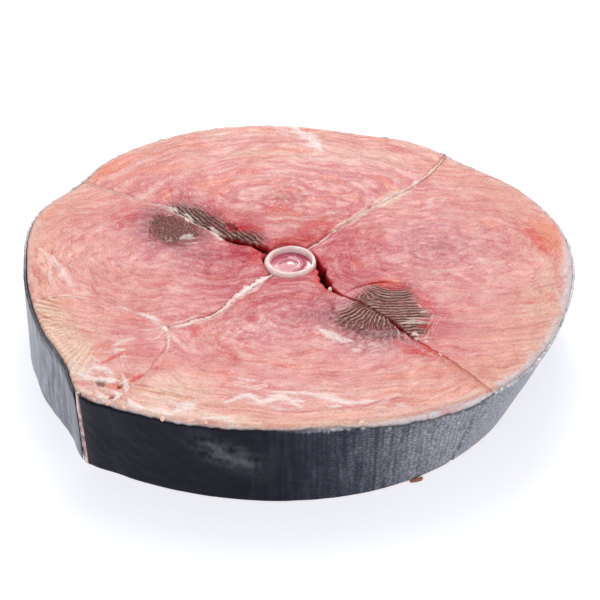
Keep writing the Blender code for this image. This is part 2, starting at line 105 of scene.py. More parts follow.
# Lenses of dark muscle beside a seam: from and to along the seam, width, and share where it is widest
LENS_BELLY_RIGHT = (18.0, 46.5, 13.0, 0.42)
LENS_BACK_RIGHT = (17.0, 39.0, 10.4, 0.45)
LENS_BELLY_LEFT = (9.0, 40.0, 5.6, 0.66)
LENS_BACK_LEFT = (21.5, 41.0, 12.6, 0.50)

# Points of each piece's grid: across or round it, and along it or down
LOIN_GRID, FIN_GRID, LENS_GRID = (210, 150), (150, 110), (190, 90)
RING_GRID, PULP_GRID, SEPTUM_POINTS, SKIN_GRID = (160, 70), (80, 8), 260, (700, 58)
RIDGE_GRID, BIT_POINTS = (60, 12), 14

# Swell of a loin beside the left crack: height, middle and reach
SWELLS = {"belly_left": (2.2, -13.0, 5.0, 11.0), "back_left": (1.5, -10.8, -4.2, 3.4)}

# Colours read off the fish, as sRGB
HUES = {
    "muscle": "e5968f", "deep": "d0606a", "pale": "f0b8ad", "flush": "c54554", "scarlet": "d83a32",
    "maroon": "8a2733", "plum": "a55468", "lilac": "cf8598", "orange": "ee8666", "peach": "f2b49c",
    "cream": "f4d4bc", "tan": "cc8468", "white": "fdeae4", "wall": "c82620", "gore_and_shade": "480a0b",
    "fat": "ecc5b6", "taupe": "8f5147", "umber": "4a211c", "gold": "8a4f2a", "glint": "dcb8ab",
    "rib": "f8e0c4", "skin_black": "1e183c", "skin_blue": "585c6a", "silver": "b9bbc4",
    "belly": "dfdadc", "bone": "ffeeeb", "marrow": "cb6574", "magenta": "a02f57", "sinew": "f6e2dc",
}

# What the wet film on the flesh mirrors of the room, taken off the colours above
FILM = 0.035


def linear(hex_colour):
    """Linear colour from an sRGB hex value: below 0.04045 a straight line, above it a power of 2.4."""
    value = np.array([int(hex_colour[i : i + 2], 16) for i in (0, 2, 4)]) / 255
    return np.where(value <= 0.04045, value / 12.92, ((value + 0.055) / 1.055) ** 2.4)


HUE = {name: np.maximum(linear(value) - FILM, 0.2 * linear(value)) for name, value in HUES.items()}

# Middle of each loin's rings of muscle, and their length against their width. The long way of the rings
# and of the fibres is turned by this angle in plan
EYES = {
    "back_right": (20.3, -15.5), "back_left": (-19.1, -14.5), "belly_left": (-23.6, 21.3),
    "belly_right": (26.3, 32.5),
}
RING_TURN = np.radians(43.0)
RING_STRETCH = 1.7

# Stains: colour, strength, middle, half length, half width, and the turn of the long side in degrees
STAINS = {
    "back_right": [
        ("flush", 0.55, 9, -10, 7.9, 5.8, 43), ("scarlet", 0.6, 12, -2, 3.1, 2.1, 133),
        ("plum", 0.45, 21, -6, 7.5, 3.5, 59), ("lilac", 0.55, 20, -15, 4.7, 3.6, 43),
        ("scarlet", 0.45, 13, -28, 3.1, 1.6, 133), ("scarlet", 0.5, 19, -35, 3.1, 1.4, 165),
        ("orange", 0.45, 30, -34, 7.1, 1.3, 23), ("orange", 0.35, 38, -29, 6.3, 1.3, 43),
        ("scarlet", 0.45, 22, -47, 3.9, 2, 4), ("plum", 0.7, 39, -15, 8.2, 3.4, 21),
        ("flush", 0.5, 51, -7, 6.1, 2.6, 20), ("cream", 0.85, 18, -61, 7.9, 7.6, 43),
        ("pale", 0.6, 44, -38, 12.7, 3.6, 36), ("peach", 0.5, 47, -47, 25, 2.7, 43),
        ("peach", 0.5, 59, -14, 9, 3.8, 71), ("tan", 0.4, 61, -6, 7.9, 1.5, 4),
        ("cream", 0.4, 70, -11, 5.6, 2.5, 72), ("scarlet", 0.25, 20, -41, 6, 3.2, 3),
    ],
    "back_left": [
        ("flush", 0.8, -47, -15, 7, 6, 133), ("maroon", 0.4, -47, -9, 3.8, 2.6, 17),
        ("scarlet", 0.35, -50, -14, 6, 5, 133),
        ("maroon", 0.75, -27, -16, 4.7, 1.1, 43), ("plum", 0.35, -17, -16, 7.4, 5.4, 43),
        ("flush", 0.7, -6, -13, 6.3, 4.2, 133), ("peach", 0.6, -49, -46, 16.1, 3.2, 133),
        ("orange", 0.5, -67, -30, 3.1, 1.9, 90), ("orange", 0.3, -46, -39, 3.2, 2.7, 43),
        ("orange", 0.3, -48, -29, 2.4, 2.2, 43), ("tan", 0.45, -43, -53, 5.4, 1.8, 133),
        ("scarlet", 0.35, -16, -32, 3.2, 1.3, 43), ("flush", 0.3, -2, -36, 7.9, 4.5, 43),
        ("pale", 0.45, -40, -37, 8.1, 7.9, 133), ("flush", 0.3, -8, -26, 7.9, 4, 43),
        ("peach", 0.35, -25, -55, 7.9, 3.6, 43),
    ],
    "belly_left": [
        ("orange", 0.7, -54, 27, 5.3, 1.3, 43), ("orange", 0.7, -40, 26, 3.6, 1.3, 68),
        ("orange", 0.6, -44, 16, 3.6, 1.3, 68), ("flush", 0.5, -50, 3, 6.3, 4.5, 43),
        ("maroon", 0.5, -41, 2, 6.2, 2.9, 14), ("orange", 0.6, -19, 16, 3.9, 1.1, 43),
        ("scarlet", 0.55, -5, 20, 6.4, 2.6, 90), ("scarlet", 0.55, -28, 46, 2.4, 1.6, 43),
        ("flush", 0.45, -21, 66, 8.7, 1.7, 26), ("flush", 0.5, -9, 69, 2.4, 2.2, 43),
        ("peach", 0.5, -59, 13, 8.4, 2.9, 70), ("pale", 0.6, -57, 42, 15.9, 3.6, 52),
        ("orange", 0.4, -60, 9, 3.9, 1.7, 71), ("flush", 0.3, -33, 9, 6.8, 3.6, 43),
        ("lilac", 0.3, -23, 41, 10.5, 3.6, 43), ("pale", 0.5, -50, 21, 4.2, 1.3, 52),
        ("cream", 0.6, -43, 38, 16, 4.5, 43), ("white", 0.35, -33, 44, 8, 2.5, 43),
        ("cream", 0.4, -20, 57, 14, 5, 30), ("pale", 0.4, -10, 12, 6, 4, 43),
    ],
    "belly_right": [
        ("flush", 0.55, 12, 9, 9, 4.2, 133), ("orange", 0.7, 44, 59, 9.9, 5.5, 156),
        ("scarlet", 0.4, 45, 53, 5.1, 1.8, 154), ("flush", 0.65, 47, 6, 7.2, 4.2, 16),
        ("scarlet", 0.7, 26, 10, 4.3, 1.1, 29), ("maroon", 0.45, 39, 10, 5.6, 3.5, 141),
        ("pale", 0.35, 53, 25, 15.2, 7.9, 133), ("peach", 0.35, 68, 7, 11.6, 6.3, 133),
        ("flush", 0.35, 20, 23, 10.5, 9.9, 43), ("pale", 0.3, 28, 44, 9, 6.8, 133),
        ("tan", 0.4, 67, -3, 4.6, 1.8, 173), ("cream", 0.4, 9, 59, 7.6, 1.9, 179),
        ("lilac", 0.25, 19, 33, 10.5, 9, 43), ("cream", 0.4, 62, 30, 16, 5, 120),
        ("peach", 0.6, 42, 62, 9, 3, 152),
    ],
    "fin": [
        ("flush", 0.45, 0, -54, 5, 3, 43), ("orange", 0.35, -5, -60, 9, 2, 43),
        ("cream", 0.8, -22, -62, 12, 4, 165), ("white", 0.55, -2, -68, 7, 3.5, 160),
        ("tan", 0.6, 5, -69, 3, 2, 60), ("orange", 0.45, 5, -64, 3, 1.5, 43),
        ("pale", 0.6, -12, -56, 11, 4, 165),
    ],
}

# Soft lines on the cut face, such as threads of white tissue, flakes, wet red edges, a few glints as painted
# highlights, and pits and a hole painted dark as their shade: colour, half width, strength, and the points of
# each. The first three groups lie across more than one region
FORK_THREADS = [
    ("white", 0.6, 0.5, [(-10.1, -43.7), (-6.1, -43.5), (-2.8, -43.4)]),
    ("white", 0.35, 0.5, [(-2.8, -43.4), (0.3, -44.6), (4.1, -45.6), (7, -45.7)]),
    ("white", 0.3, 0.55, [(-2.5, -43.7), (1, -46.2), (4.7, -50.1)]),
    ("white", 0.55, 0.5, [(-2.7, -42.1), (-1.7, -38.9), (-0.9, -34.6)]),
    ("white", 0.28, 0.5, [(-2.5, -44.3), (-1.5, -47.4), (-1.6, -50.4)]),
    ("white", 0.28, 0.45, [(-4.2, -44.2), (-5.2, -46.8), (-7.4, -48.9)]),
    ("pale", 1.6, 0.55, [(-5.2, -43.9), (-1.9, -44.3), (0.4, -45)]),
]
BACK_SEPTUM_SIDES = [
    ("white", 0.8, 0.55, [(1.3, -12.3), (1.5, -17.1), (1.8, -21.8)]),
    ("cream", 0.6, 0.45, [(2, -22.8), (2.5, -31.4), (0.5, -37.4)]),
]
BELLY_SEPTUM_SIDES = [
    ("cream", 1, 0.85, [(-1.6, 18.1), (-1.6, 26.5), (-1.5, 36)]),
    ("cream", 1.6, 0.95, [(-1.3, 38.4), (-0.9, 45.5), (0, 53.1)]),
]
LINES = {
    "back_right": [
        *BACK_SEPTUM_SIDES,
        ("white", 1, 0.9, [(27.2, -17.7), (30.2, -17.2), (33.5, -17.1), (36.1, -15.8)]),
        ("white", 0.5, 0.7, [(38.5, -18.1), (40.4, -16.8)]),
        ("pale", 0.45, 0.6, [(40.2, -14.7), (41.8, -12.7), (45, -12.6)]),
        ("scarlet", 1.6, 0.85, [(7.1, 2.7), (11.1, 0), (16.4, -2.7)]),
        ("scarlet", 1.2, 0.7, [(45, -8.6), (49.7, -7.6), (54.3, -6.6)]),
        ("scarlet", 0.55, 0.85, [(47, -4.4), (50.7, -4.5), (54.4, -4.3), (57.7, -4)]),
        ("tan", 0.5, 0.7, [(57.5, -4.2), (61.9, -5), (66.3, -5.8), (70.6, -6.5), (73.6, -7.4)]),
        ("white", 1.1, 0.9, [(18.6, -68.5), (21.1, -67.6), (23.8, -67.1)]),
        ("cream", 1.3, 0.85, [(11, -72.2), (15, -71), (20, -69.4), (25, -67.4)]),
        ("white", 0.7, 0.85, [(11.6, -69.2), (14.2, -69.9), (16.8, -69.4)]),
        ("white", 1.2, 0.95, [(23.3, -65), (23.7, -62.1), (25, -59.4)]),
        ("cream", 1, 0.8, [(28.1, -61.1), (35.1, -58), (41.7, -53.9)]),
        ("cream", 0.9, 0.7, [(48.5, -48), (56.7, -39.4), (63.7, -29.4)]),
        ("white", 0.5, 0.85, [(30, -62), (34, -58.5), (39, -58), (43, -54.5)]),
        ("white", 0.7, 0.9, [(30.1, -54.7), (31.8, -49.5), (36.3, -48.3), (38.2, -44), (44, -43.2)]),
        ("white", 0.7, 0.9, [(40.7, -39.6), (46.1, -36.6), (51.8, -33.9), (55.2, -29.8)]),
        ("white", 0.4, 0.8, [(47, -50.5), (50.5, -46), (55, -42.5), (58, -37.5)]),
        ("scarlet", 1, 0.6, [(-0.7, -39.1), (3.3, -38.9), (4.8, -42.1)]),
        ("scarlet", 0.9, 0.5, [(10, -38.4), (15.9, -39.6), (20.3, -41.1)]),
        ("white", 0.45, 0.7, [(-1.7, -49.9), (-1.4, -46.8), (0.7, -45.3)]),
        *FORK_THREADS,
    ],
    "back_left": [
        *BACK_SEPTUM_SIDES,
        ("white", 0.8, 0.95, [(-36, -57), (-32.9, -53.5), (-28.3, -50.5), (-23.7, -49.3), (-20, -48.8)]),
        ("white", 0.95, 0.85, [(-19.2, -48.7), (-18, -46.4), (-13.6, -45.8)]),
        ("white", 0.8, 0.85, [(-13.4, -46.3), (-11, -43.8), (-6.8, -42.9)]),
        ("maroon", 0.65, 0.9, [(-32.2, -17.3), (-29.6, -16.3), (-26.9, -15.1)]),
        ("maroon", 0.6, 0.9, [(-27.5, -12.2), (-26.8, -10.9), (-25.9, -9.4)]),
        # A cluster of painted glints, drawn in the white of the threads
        ("white", 0.75, 0.8, [(-30, -12.5), (-29.8, -10.3), (-28.1, -10.1)]),
        ("flush", 2.2, 0.6, [(-17.7, -8.5), (-13, -8.2), (-8.8, -8.2)]),
        ("scarlet", 1.1, 0.8, [(-13.5, -1.9), (-9.6, -3), (-7.2, -6.7), (-4.7, -5.7)]),
        ("white", 0.7, 0.6, [(-54.4, -42.8), (-43.6, -44.6), (-35.5, -47.9)]),
        ("pale", 0.6, 0.6, [(-64.2, -27.6), (-62, -18.2), (-55.7, -12.3)]),
        ("white", 0.75, 0.95, [(-44.4, -4), (-42.4, -3.6), (-40, -4.2)]),
        ("white", 0.35, 0.8, [(-49.8, -6.1), (-46.9, -4.8), (-43.8, -4.2)]),
        ("white", 0.65, 0.95, [(-38.9, -3.3), (-37.1, -3), (-33.4, -4.6)]),
        ("white", 0.4, 0.8, [(-29.9, -4.1), (-28, -4.4)]),
        ("white", 0.85, 0.95, [(-29.4, -2.2), (-26.1, -3.4), (-21.3, -5.1)]),
        *FORK_THREADS,
    ],
    "belly_left": [
        *BELLY_SEPTUM_SIDES,
        ("wall", 1.4, 0.9, [(-22.6, 0.7), (-19.6, 1.4), (-16.8, 2.5), (-13.9, 3.2)]),
        ("wall", 1.15, 0.95, [(-8.6, 1), (-7.6, 2.4), (-5.7, 5.8), (-3.6, 9.6), (-2.3, 14), (-2.6, 19)]),
        ("scarlet", 1.3, 0.6, [(-6.7, 11.2), (-6.4, 17.1), (-6.8, 23.8)]),
        # A hole at the foot of the left crack, sunk and painted dark as its shade
        ("gore_and_shade", 0.85, 0.95, [(-25.6, 0.9), (-23.4, 0.2), (-21.2, 0.4)]),
        ("scarlet", 0.9, 0.55, [(-25.8, 15.6), (-20.1, 15), (-16.2, 18)]),
        ("orange", 0.8, 0.55, [(-48, 6.1), (-44.3, 14.8), (-37.2, 22.2), (-27.2, 25.4)]),
        ("orange", 0.8, 0.5, [(-17.4, 22.7), (-14.9, 29.4), (-13.5, 38.2)]),
        ("pale", 0.9, 0.55, [(-49.3, 15.5), (-42.8, 27.9), (-30.3, 36.5), (-15.8, 39.1)]),
        ("orange", 0.8, 0.5, [(-49.7, 26.3), (-42.5, 36.2), (-28.6, 43.5)]),
        ("pale", 0.8, 0.5, [(-33.4, 12.2), (-31.6, 19.9), (-22.8, 22.1)]),
        ("orange", 0.7, 0.5, [(-66.9, -2.4), (-63.8, 6.7), (-57, 14.7)]),
        ("white", 1.6, 0.95, [(-50, 54.5), (-45, 53.6), (-39.7, 52), (-34, 49.8)]),
        ("white", 0.6, 0.9, [(-44.4, -4), (-42.4, -3.6), (-40, -4.2)]),
        ("white", 0.35, 0.8, [(-49.8, -6.1), (-46.9, -4.8), (-43.8, -4.2)]),
        ("white", 0.35, 0.9, [(-38.9, -3.3), (-37.1, -3), (-33.4, -4.6)]),
        ("white", 0.4, 0.8, [(-29.9, -4.1), (-28, -4.4)]),
        ("white", 0.35, 0.9, [(-29.4, -2.9), (-26.1, -3.4), (-21.3, -5.1)]),
    ],
    "belly_right": [
        *BELLY_SEPTUM_SIDES,
        ("scarlet", 1.3, 0.8, [(22.2, 7.2), (24.4, 9.2), (27.3, 10.7), (30.7, 12)]),
        ("orange", 0.8, 0.8, [(24, 11.4), (26.5, 12.5), (28.6, 12.5)]),
        ("scarlet", 1.3, 0.6, [(33.1, 12.9), (38.1, 11.4), (42.7, 9)]),
        ("white", 0.4, 0.8, [(40, -1.2), (42.6, 1.8), (45.4, 4.4)]),
        ("white", 0.35, 0.7, [(39.8, 1.6), (42.7, 3.7), (44.9, 6.3)]),
        ("scarlet", 0.6, 0.7, [(42.4, 2.8), (46.4, 6.5)]),
        ("white", 0.35, 0.7, [(40.7, 5.4), (41.8, 7.6)]),
        ("scarlet", 0.7, 0.7, [(44.2, 1), (48.9, 4.2)]),
        ("white", 0.6, 0.9, [(45, -2.3), (46.5, -2.1)]),
        ("scarlet", 2, 0.65, [(37.3, 57.8), (41.9, 55.2), (48.2, 51.6)]),
        ("orange", 2.8, 0.6, [(38.7, 63.5), (45.8, 58.8), (53.9, 51.6)]),
        ("tan", 0.6, 0.45, [(51.1, 33.4), (56, 28.1), (58.2, 24.1)]),
        ("belly", 1.5, 0.9, [(30, 74.2), (38.6, 70.5), (47.6, 62.6), (56.9, 51.1), (66, 37.4), (71.3, 26.2),
                               (73.7, 15.4), (74.4, 3.9), (73.6, -3.2)]),
        ("flush", 0.8, 0.6, [(-3.3, 7.6), (6, 5.6), (13.7, 1.1)]),
        ("cream", 0.9, 0.7, [(-4, 20.7), (-2.7, 27.7), (-1.5, 36), (-0.5, 45)]),
    ],
    "fin": [
        ("scarlet", 0.4, 0.95, [(-4.1, -64.9), (-3.6, -62.3), (-3.6, -60.1), (-3.2, -57.4)]),
        ("white", 0.6, 0.9, [(-6.7, -60.7), (-5.3, -58.9), (-4.1, -57.2)]),
        ("white", 1, 0.95, [(0.1, -69.1), (2.3, -67.5), (4.4, -66.1)]),
        ("cream", 1.1, 0.85, [(-11.1, -64.8), (-8.1, -68.6), (-3.5, -69.3)]),
        ("orange", 1.1, 0.85, [(4.1, -69.1), (5.6, -68.2), (7.3, -67.7)]),
        ("orange", 0.8, 0.6, [(-2.9, -67.6), (0.1, -66.9)]),
        ("white", 0.5, 0.9, [(2.6, -63.5), (6, -65.2), (9.2, -67.4), (12.2, -68.8)]),
        ("white", 0.4, 0.8, [(5.8, -67), (5.8, -63.8)]),
        ("scarlet", 0.55, 0.9, [(7, -64.8), (7.1, -62), (7.9, -59.7)]),
        ("white", 0.35, 0.9, [(8.4, -65.1), (9, -63), (8.8, -60.5)]),
        ("flush", 0.5, 0.8, [(10, -66.2), (10.3, -63.2)]),
        ("flush", 0.6, 0.5, [(-13.3, -69.7), (-9.3, -71.4)]),
        ("cream", 1.6, 0.8, [(-22.8, -65.9), (-17, -68), (-10, -70), (-6, -71.8)]),
        ("white", 0.9, 0.85, [(-9.5, -68.6), (-6.5, -70.2), (-3, -70.8)]),
        ("white", 0.8, 0.9, [(3.2, -72.2), (6, -73), (9, -73)]),
        ("white", 0.7, 0.85, [(-4.2, -66.6), (-1.6, -65.4), (1.4, -65.2)]),
        ("scarlet", 1.2, 0.45, [(-9.9, -61.5), (-9.3, -58.7), (-5.9, -60)]),
        ("white", 0.5, 0.7, [(-7.2, -57.9), (-6.6, -55), (-5.3, -52.1)]),
        # Pits, sunk and painted dark umber as the shade inside them
        ("umber", 0.62, 1, [(-4.3, -74.3), (-3.2, -74.3)]),
        ("umber", 0.7, 1, [(1.3, -69.6), (2.9, -69.6)]),
        ("umber", 0.6, 1, [(7.8, -71.3), (8.7, -71.5)]),
        ("umber", 0.4, 0.9, [(5.9, -67.4), (7, -67.4)]),
        ("white", 0.8, 0.9, [(6.3, -69.7), (8.8, -69.9), (9.4, -72.4)]),
        ("flush", 0.5, 0.7, [(10.5, -70.9), (14, -70.7), (16.2, -70.2)]),
        ("cream", 0.8, 0.9, [(-8.3, -73.2), (-5.2, -74.6), (-1, -74.9), (2.6, -73.6)]),
        *FORK_THREADS,
    ],
}

# How far such a line stands up, by its colour; what isn't named lies flush
STANDS = {"white": 0.18, "cream": 0.15, "gore_and_shade": -1.2, "umber": -0.9, "maroon": -0.3, "scarlet": -0.1}

# Each region's redness near the bone and over all, strength of its arcs of red and pale muscle, and lilac
# at its middle
CHARACTER = {"back_right": (0.95, 0.0, 0.50, 0.45), "back_left": (1.0, 0.0, 0.40, 0.30),
             "belly_left": (0.35, 0.35, 1.0, 0.0), "belly_right": (0.95, 0.1, 0.45, 0.40),
             "fin": (0.0, 0.0, 0.4, 0.0)}

# Where white fibres lie close together as fine streaks: strength, middle, half length, half width, turn
STREAKS = {
    "back_right": [(1.0, 45, -39, 15, 5.0, 38), (0.8, 35, -43, 14, 3.5, 30), (0.6, 62, -22, 12, 4.0, 70),
                   (0.8, 4, -48, 5, 3.0, 60), (0.7, 24, -62, 8, 3.0, 0), (0.5, 12, -30, 9, 6.0, 100)],
    "back_left": [(0.7, -44, -44, 10, 5.0, 133), (0.8, -4, -42, 4, 2.5, 20), (0.5, -22, -47, 12, 3.0, 20),
                  (0.5, -52, -7, 12, 1.6, 10)],
    "belly_left": [(1.0, -44, 50, 14, 3.0, 5), (0.6, -60, 36, 12, 4.0, 55), (0.4, -25, 25, 14, 10.0, 43)],
    "belly_right": [(0.7, 60, 43, 16, 3.0, 130), (0.4, 40, 28, 16, 9.0, 43), (0.6, 10, 56, 12, 3.0, 100)],
    "fin": [(1.0, -2, -67, 9, 3.0, 170), (0.8, -6, -57, 8, 2.0, 150)],
}

# Rim of the dark colour on the cut face in each loin
DARK_RIMS = {
    "belly_right": [
        (24.3, 1.2), (23.8, 4.9), (25.1, 6.7), (27.5, 9.6), (30.5, 11.1), (33.7, 11), (37.4, 8.9),
        (40.9, 6.7), (44, 4.9), (46.4, 2.4), (46.6, -2), (44.5, -6), (38, -5), (30, -4.5), (24.5, -3),
    ],
    "back_right": [
        (25.7, -11), (25.5, -8.8), (26.1, -6.4), (26.8, -4), (25.6, -1.5), (26, 2), (31, 2.2),
        (38, 1.8), (43, 0), (45, -3.7), (43.2, -6.7), (41.3, -9), (39.4, -10.1), (36.6, -11.3),
        (33, -11.8), (29.9, -12.3), (27.7, -12.1),
    ],
    "back_left": [
        (-43.5, -11.1), (-43.4, -8.8), (-40.9, -7.3), (-38.4, -5.7), (-35.2, -4.8), (-32.1, -5.4),
        (-29.2, -6.3), (-26.9, -8.9), (-27.4, -11.5), (-28.4, -14.4), (-30.4, -16.3), (-33.5, -17.2),
        (-36.8, -16.8), (-40.8, -14.3),
    ],
    "belly_left": [
        (-45, -4.6), (-44, -2.3), (-41, -0.1), (-36.9, 1.4), (-31.3, 1.6), (-27.1, 0.6), (-23.4, -0.7),
        (-19.2, -0.3), (-15.6, 0.6), (-11.8, 0.4), (-10.4, -1.6), (-12.5, -5), (-16, -7), (-22, -7.5),
        (-30, -7.5), (-39, -7),
    ],
}

# The lens of dark muscle in each loin: its seam, the side of it, and the lens
LENSES = {
    "belly_right": (RIGHT_SEAM, 1, LENS_BELLY_RIGHT), "back_right": (RIGHT_SEAM, -1, LENS_BACK_RIGHT),
    "back_left": (LEFT_SEAM, 1, LENS_BACK_LEFT), "belly_left": (LEFT_SEAM, -1, LENS_BELLY_LEFT),
}

# Where the rays of the back's right dark muscle meet, along the rings' long way and across it, and how many
# ridges a full turn round it would have
FAN_FOCUS = (24.7, -16.1)
FAN_RIDGES = 58

# The same for the fin's rays, in plan, in waves for each radian
RAY_FOCUS = (-16.0, -52.0)
RAYS = 62


def ring_value(table, angle):
    """Value at an angle in radians: a smooth cubic through the table, closed on itself."""
    at = np.array(sorted(table), float)
    value = np.array([table[key] for key in sorted(table)], float)
    at = np.concatenate([at[-2:] - 360, at, at[:2] + 360])
    value = np.concatenate([value[-2:], value, value[:2]])
    slope = np.gradient(value, at)
    turn = np.degrees(angle) % 360
    i = np.clip(np.searchsorted(at, turn, side="right") - 1, 1, len(at) - 3)
    step = at[i + 1] - at[i]
    f = (turn - at[i]) / step
    start = (1 + 2 * f) * (1 - f) ** 2 * value[i] + f * (1 - f) ** 2 * step * slope[i]
    end = f**2 * (3 - 2 * f) * value[i + 1] - f**2 * (1 - f) * step * slope[i + 1]
    return start + end


def noise(a, b, seed, wrap=256):
    """Smooth noise from -1 to 1: random numbers at the corners of a unit lattice, joined by the blend
    3f^2 - 2f^3 both ways. It repeats after wrap cells along a."""
    table = np.random.default_rng(seed).uniform(-1, 1, (wrap, 256))
    i, j = np.floor(a).astype(int), np.floor(b).astype(int)
    f, g = a - i, b - j
    f, g = f * f * (3 - 2 * f), g * g * (3 - 2 * g)
    i, j, i1, j1 = i % wrap, j % 256, (i + 1) % wrap, (j + 1) % 256
    low = table[i, j] * (1 - f) + table[i1, j] * f
    high = table[i, j1] * (1 - f) + table[i1, j1] * f
    return low * (1 - g) + high * g


def step(low, high, value):
    """0 below low, 1 above high, and 3f^2 - 2f^3 between; low may be the larger."""
    f = np.clip((value - low) / (high - low), 0, 1)
    return f * f * (3 - 2 * f)


def patches(x, y, size, seed, shift=0):
    """Smooth noise over the plan in patches of a size in millimetres."""
    return noise(x / size + shift, y / size + shift, seed)


def hill(distance, reach):
    """A soft hill: exp(-(distance / reach)^2)."""
    return np.exp(-((distance / reach) ** 2))


def turned(x, y, turn=RING_TURN):
    """Places along and across a direction in plan, which is the rings' long way unless one is given."""
    c, s = np.cos(turn), np.sin(turn)
    return x * c + y * s, y * c - x * s


def joined(values, last):
    """Points or colours with one more number each, such as a height or a share."""
    return np.concatenate([values, last[..., None]], axis=-1)


def flat(hue, like):
    """One hue for each value of an array."""
    return np.broadcast_to(HUE[hue], (*like.shape, 3)).copy()


def mix(colours, hue, share):
    """Colours moved towards a named hue by a share at each point."""
    return colours + (HUE[hue] - colours) * np.clip(share, 0, 1)[..., None]


def blend(colours, others, share):
    """Colours moved towards other colours by a share at each point."""
    return colours + (others - colours) * np.clip(share, 0, 1)[..., None]


def taper(points, depth):
    """Draws plan points in below the cut face, by the undercut times (radius / outer radius)^3."""
    radius = np.linalg.norm(points, axis=-1)
    angle = np.arctan2(points[..., 1], points[..., 0])
    share = np.clip(radius / ring_value(TOP_RADIUS, angle), 0, 1.05)
    drawn = ring_value(UNDERCUT, angle) * share**3 * depth / THICKNESS
    return points * (1 - drawn / np.maximum(radius, 1))[..., None]


def outline(angle, inside=0.0):
    """Points of the cut face's outer edge, moved in towards the backbone by a distance."""
    radius = ring_value(TOP_RADIUS, angle) - inside
    return np.stack([radius * np.cos(angle), radius * np.sin(angle)], axis=-1)


def smooth_line(points, count=900):
    """Evenly many points on a Catmull-Rom curve through the given ones."""
    p = np.asarray(points, float)
    p = np.vstack([2 * p[0] - p[1], p, 2 * p[-1] - p[-2]])
    t = np.linspace(0, len(p) - 3 - 1e-9, count)
    i = t.astype(int)
    f = (t - i)[:, None]
    a, b, c, d = p[i], p[i + 1], p[i + 2], p[i + 3]
    return b + 0.5 * f * (c - a + f * (2 * a - 5 * b + 4 * c - d + f * (3 * b - a - 3 * c + d)))


def softened(line, reach):
    """A line averaged over so many of its points to each side, under a raised cosine, its ends kept."""
    window = np.hanning(2 * reach + 3)[1:-1]
    mirrored = (2 * line[0] - line[reach:0:-1], line, 2 * line[-1] - line[-2 : -reach - 2 : -1])
    columns = np.concatenate(mirrored).T
    return np.stack([np.convolve(column, window / window.sum(), "valid") for column in columns], axis=-1)


def lengths(points):
    """Distance along a line of points, from its first."""
    return np.concatenate([[0], np.cumsum(np.linalg.norm(np.diff(points, axis=0), axis=1))])


def at_distance(points, along, want):
    """Points of a line at wanted distances, where along gives the distance of each of its points."""
    return np.stack([np.interp(want, along, points[:, k]) for k in range(points.shape[1])], axis=-1)


def left_normals(points):
    """Unit normals on the left of a line, seen along it."""
    way = np.gradient(points, axis=0)
    way /= np.linalg.norm(way, axis=1)[:, None]
    return np.stack([-way[:, 1], way[:, 0]], axis=-1)


def lens_width(lens, along):
    """Width of a lens of dark muscle by distance along its seam: sin(pi share^skew)^0.8."""
    if lens is None:
        return np.zeros_like(along)
    start, end, width, widest = lens
    share = np.clip((along - start) / (end - start), 0, 1)
    return width * np.sin(np.pi * share ** (np.log(0.5) / np.log(widest))) ** 0.8


class Seam:
    """A seam in plan: its line, the septum in it, and on its left and right a crack and a lens."""

    def __init__(self, points, septum=((0, 1), (0, 0)), cracks=(NO_CRACK, NO_CRACK), lenses=(None, None),
                 seed=1, fork=1000.0):
        line = softened(smooth_line(points), 20)
        self.along = lengths(line)
        self.normals = left_normals(line)
        wander = 0.30 * noise(self.along / 4.5, self.along * 0, seed)
        wander += 0.14 * noise(self.along / 1.3, 3.3, seed)
        self.line = line + self.normals * (wander * step(3, 8, self.along))[:, None]
        self.half_septum = np.interp(self.along, *septum)
        self.cracks = dict(zip((1, -1), cracks))
        self.lenses = dict(zip((1, -1), lenses))
        self.seed = seed
        self.fork = fork

    def edge(self, side, depth):
        """Distance from the line to the nearest flesh on one side (1 left, -1 right)."""
        stations, widths = self.cracks[side]
        closing = max(0.0, 1 - depth / CRACK_DEPTH)
        crack = np.interp(self.along, stations, widths) * closing
        down = np.full_like(self.along, depth / 4.0)
        ragged = 0.35 * crack * noise(self.along / 1.6, down, self.seed + side)
        return self.half_septum + CLOSED + crack + ragged

    def offset(self, side, distance):
        """The line moved to one side by a distance at each point."""
        return self.line + side * self.normals * distance[:, None]

    def loin_side(self, side, depth, lap=0.0):
        """The edge of the loin on one side, round the lens of dark muscle if there is one."""
        width = self.edge(side, depth) + lens_width(self.lenses[side], self.along) - lap
        return softened(self.offset(side, width), 6)

    def openness(self, side, along):
        """How far the seam gapes by distance along it: not at all beside a lens, and little past the fork."""
        tight = 1 - 0.9 * step(self.fork - 2, self.fork + 4, along)
        if self.lenses[side] is None:
            return tight
        start, end = self.lenses[side][:2]
        return tight * np.maximum(step(start + 0.5, start - 2.5, along), step(end - 0.5, end + 2.5, along))


def make_seams():
    """The seams by name, and the length of the back's seam up to the fork."""
    fork = lengths(smooth_line(BACK_SEAM))[-1]
    septum = ((0, fork, fork + FORK_CLEAR), (BACK_SEPTUM / 2, BACK_SEPTUM / 2, FIN_SEPTUM / 2))
    left_septum = ((0, LEFT_SEPTUM_FROM - 3, LEFT_SEPTUM_FROM), (0, 0, LEFT_SEPTUM / 2))
    seams = {
        "belly": Seam(BELLY_SEAM, ((0, 1), (BELLY_SEPTUM / 2,) * 2), seed=11),
        "back_left": Seam(BACK_SEAM + FIN_SEAM_LEFT[1:], septum, seed=12, fork=fork),
        "back_right": Seam(BACK_SEAM + FIN_SEAM_RIGHT[1:], septum, seed=12, fork=fork),
        "left": Seam(LEFT_SEAM, left_septum, (LEFT_CRACK_BACK_SIDE, LEFT_CRACK_BELLY_SIDE),
                     (LENS_BACK_LEFT, LENS_BELLY_LEFT), seed=14),
        "right": Seam(RIGHT_SEAM, cracks=(RIGHT_CRACK, RIGHT_CRACK),
                      lenses=(LENS_BELLY_RIGHT, LENS_BACK_RIGHT), seed=15),
    }
    return seams, fork


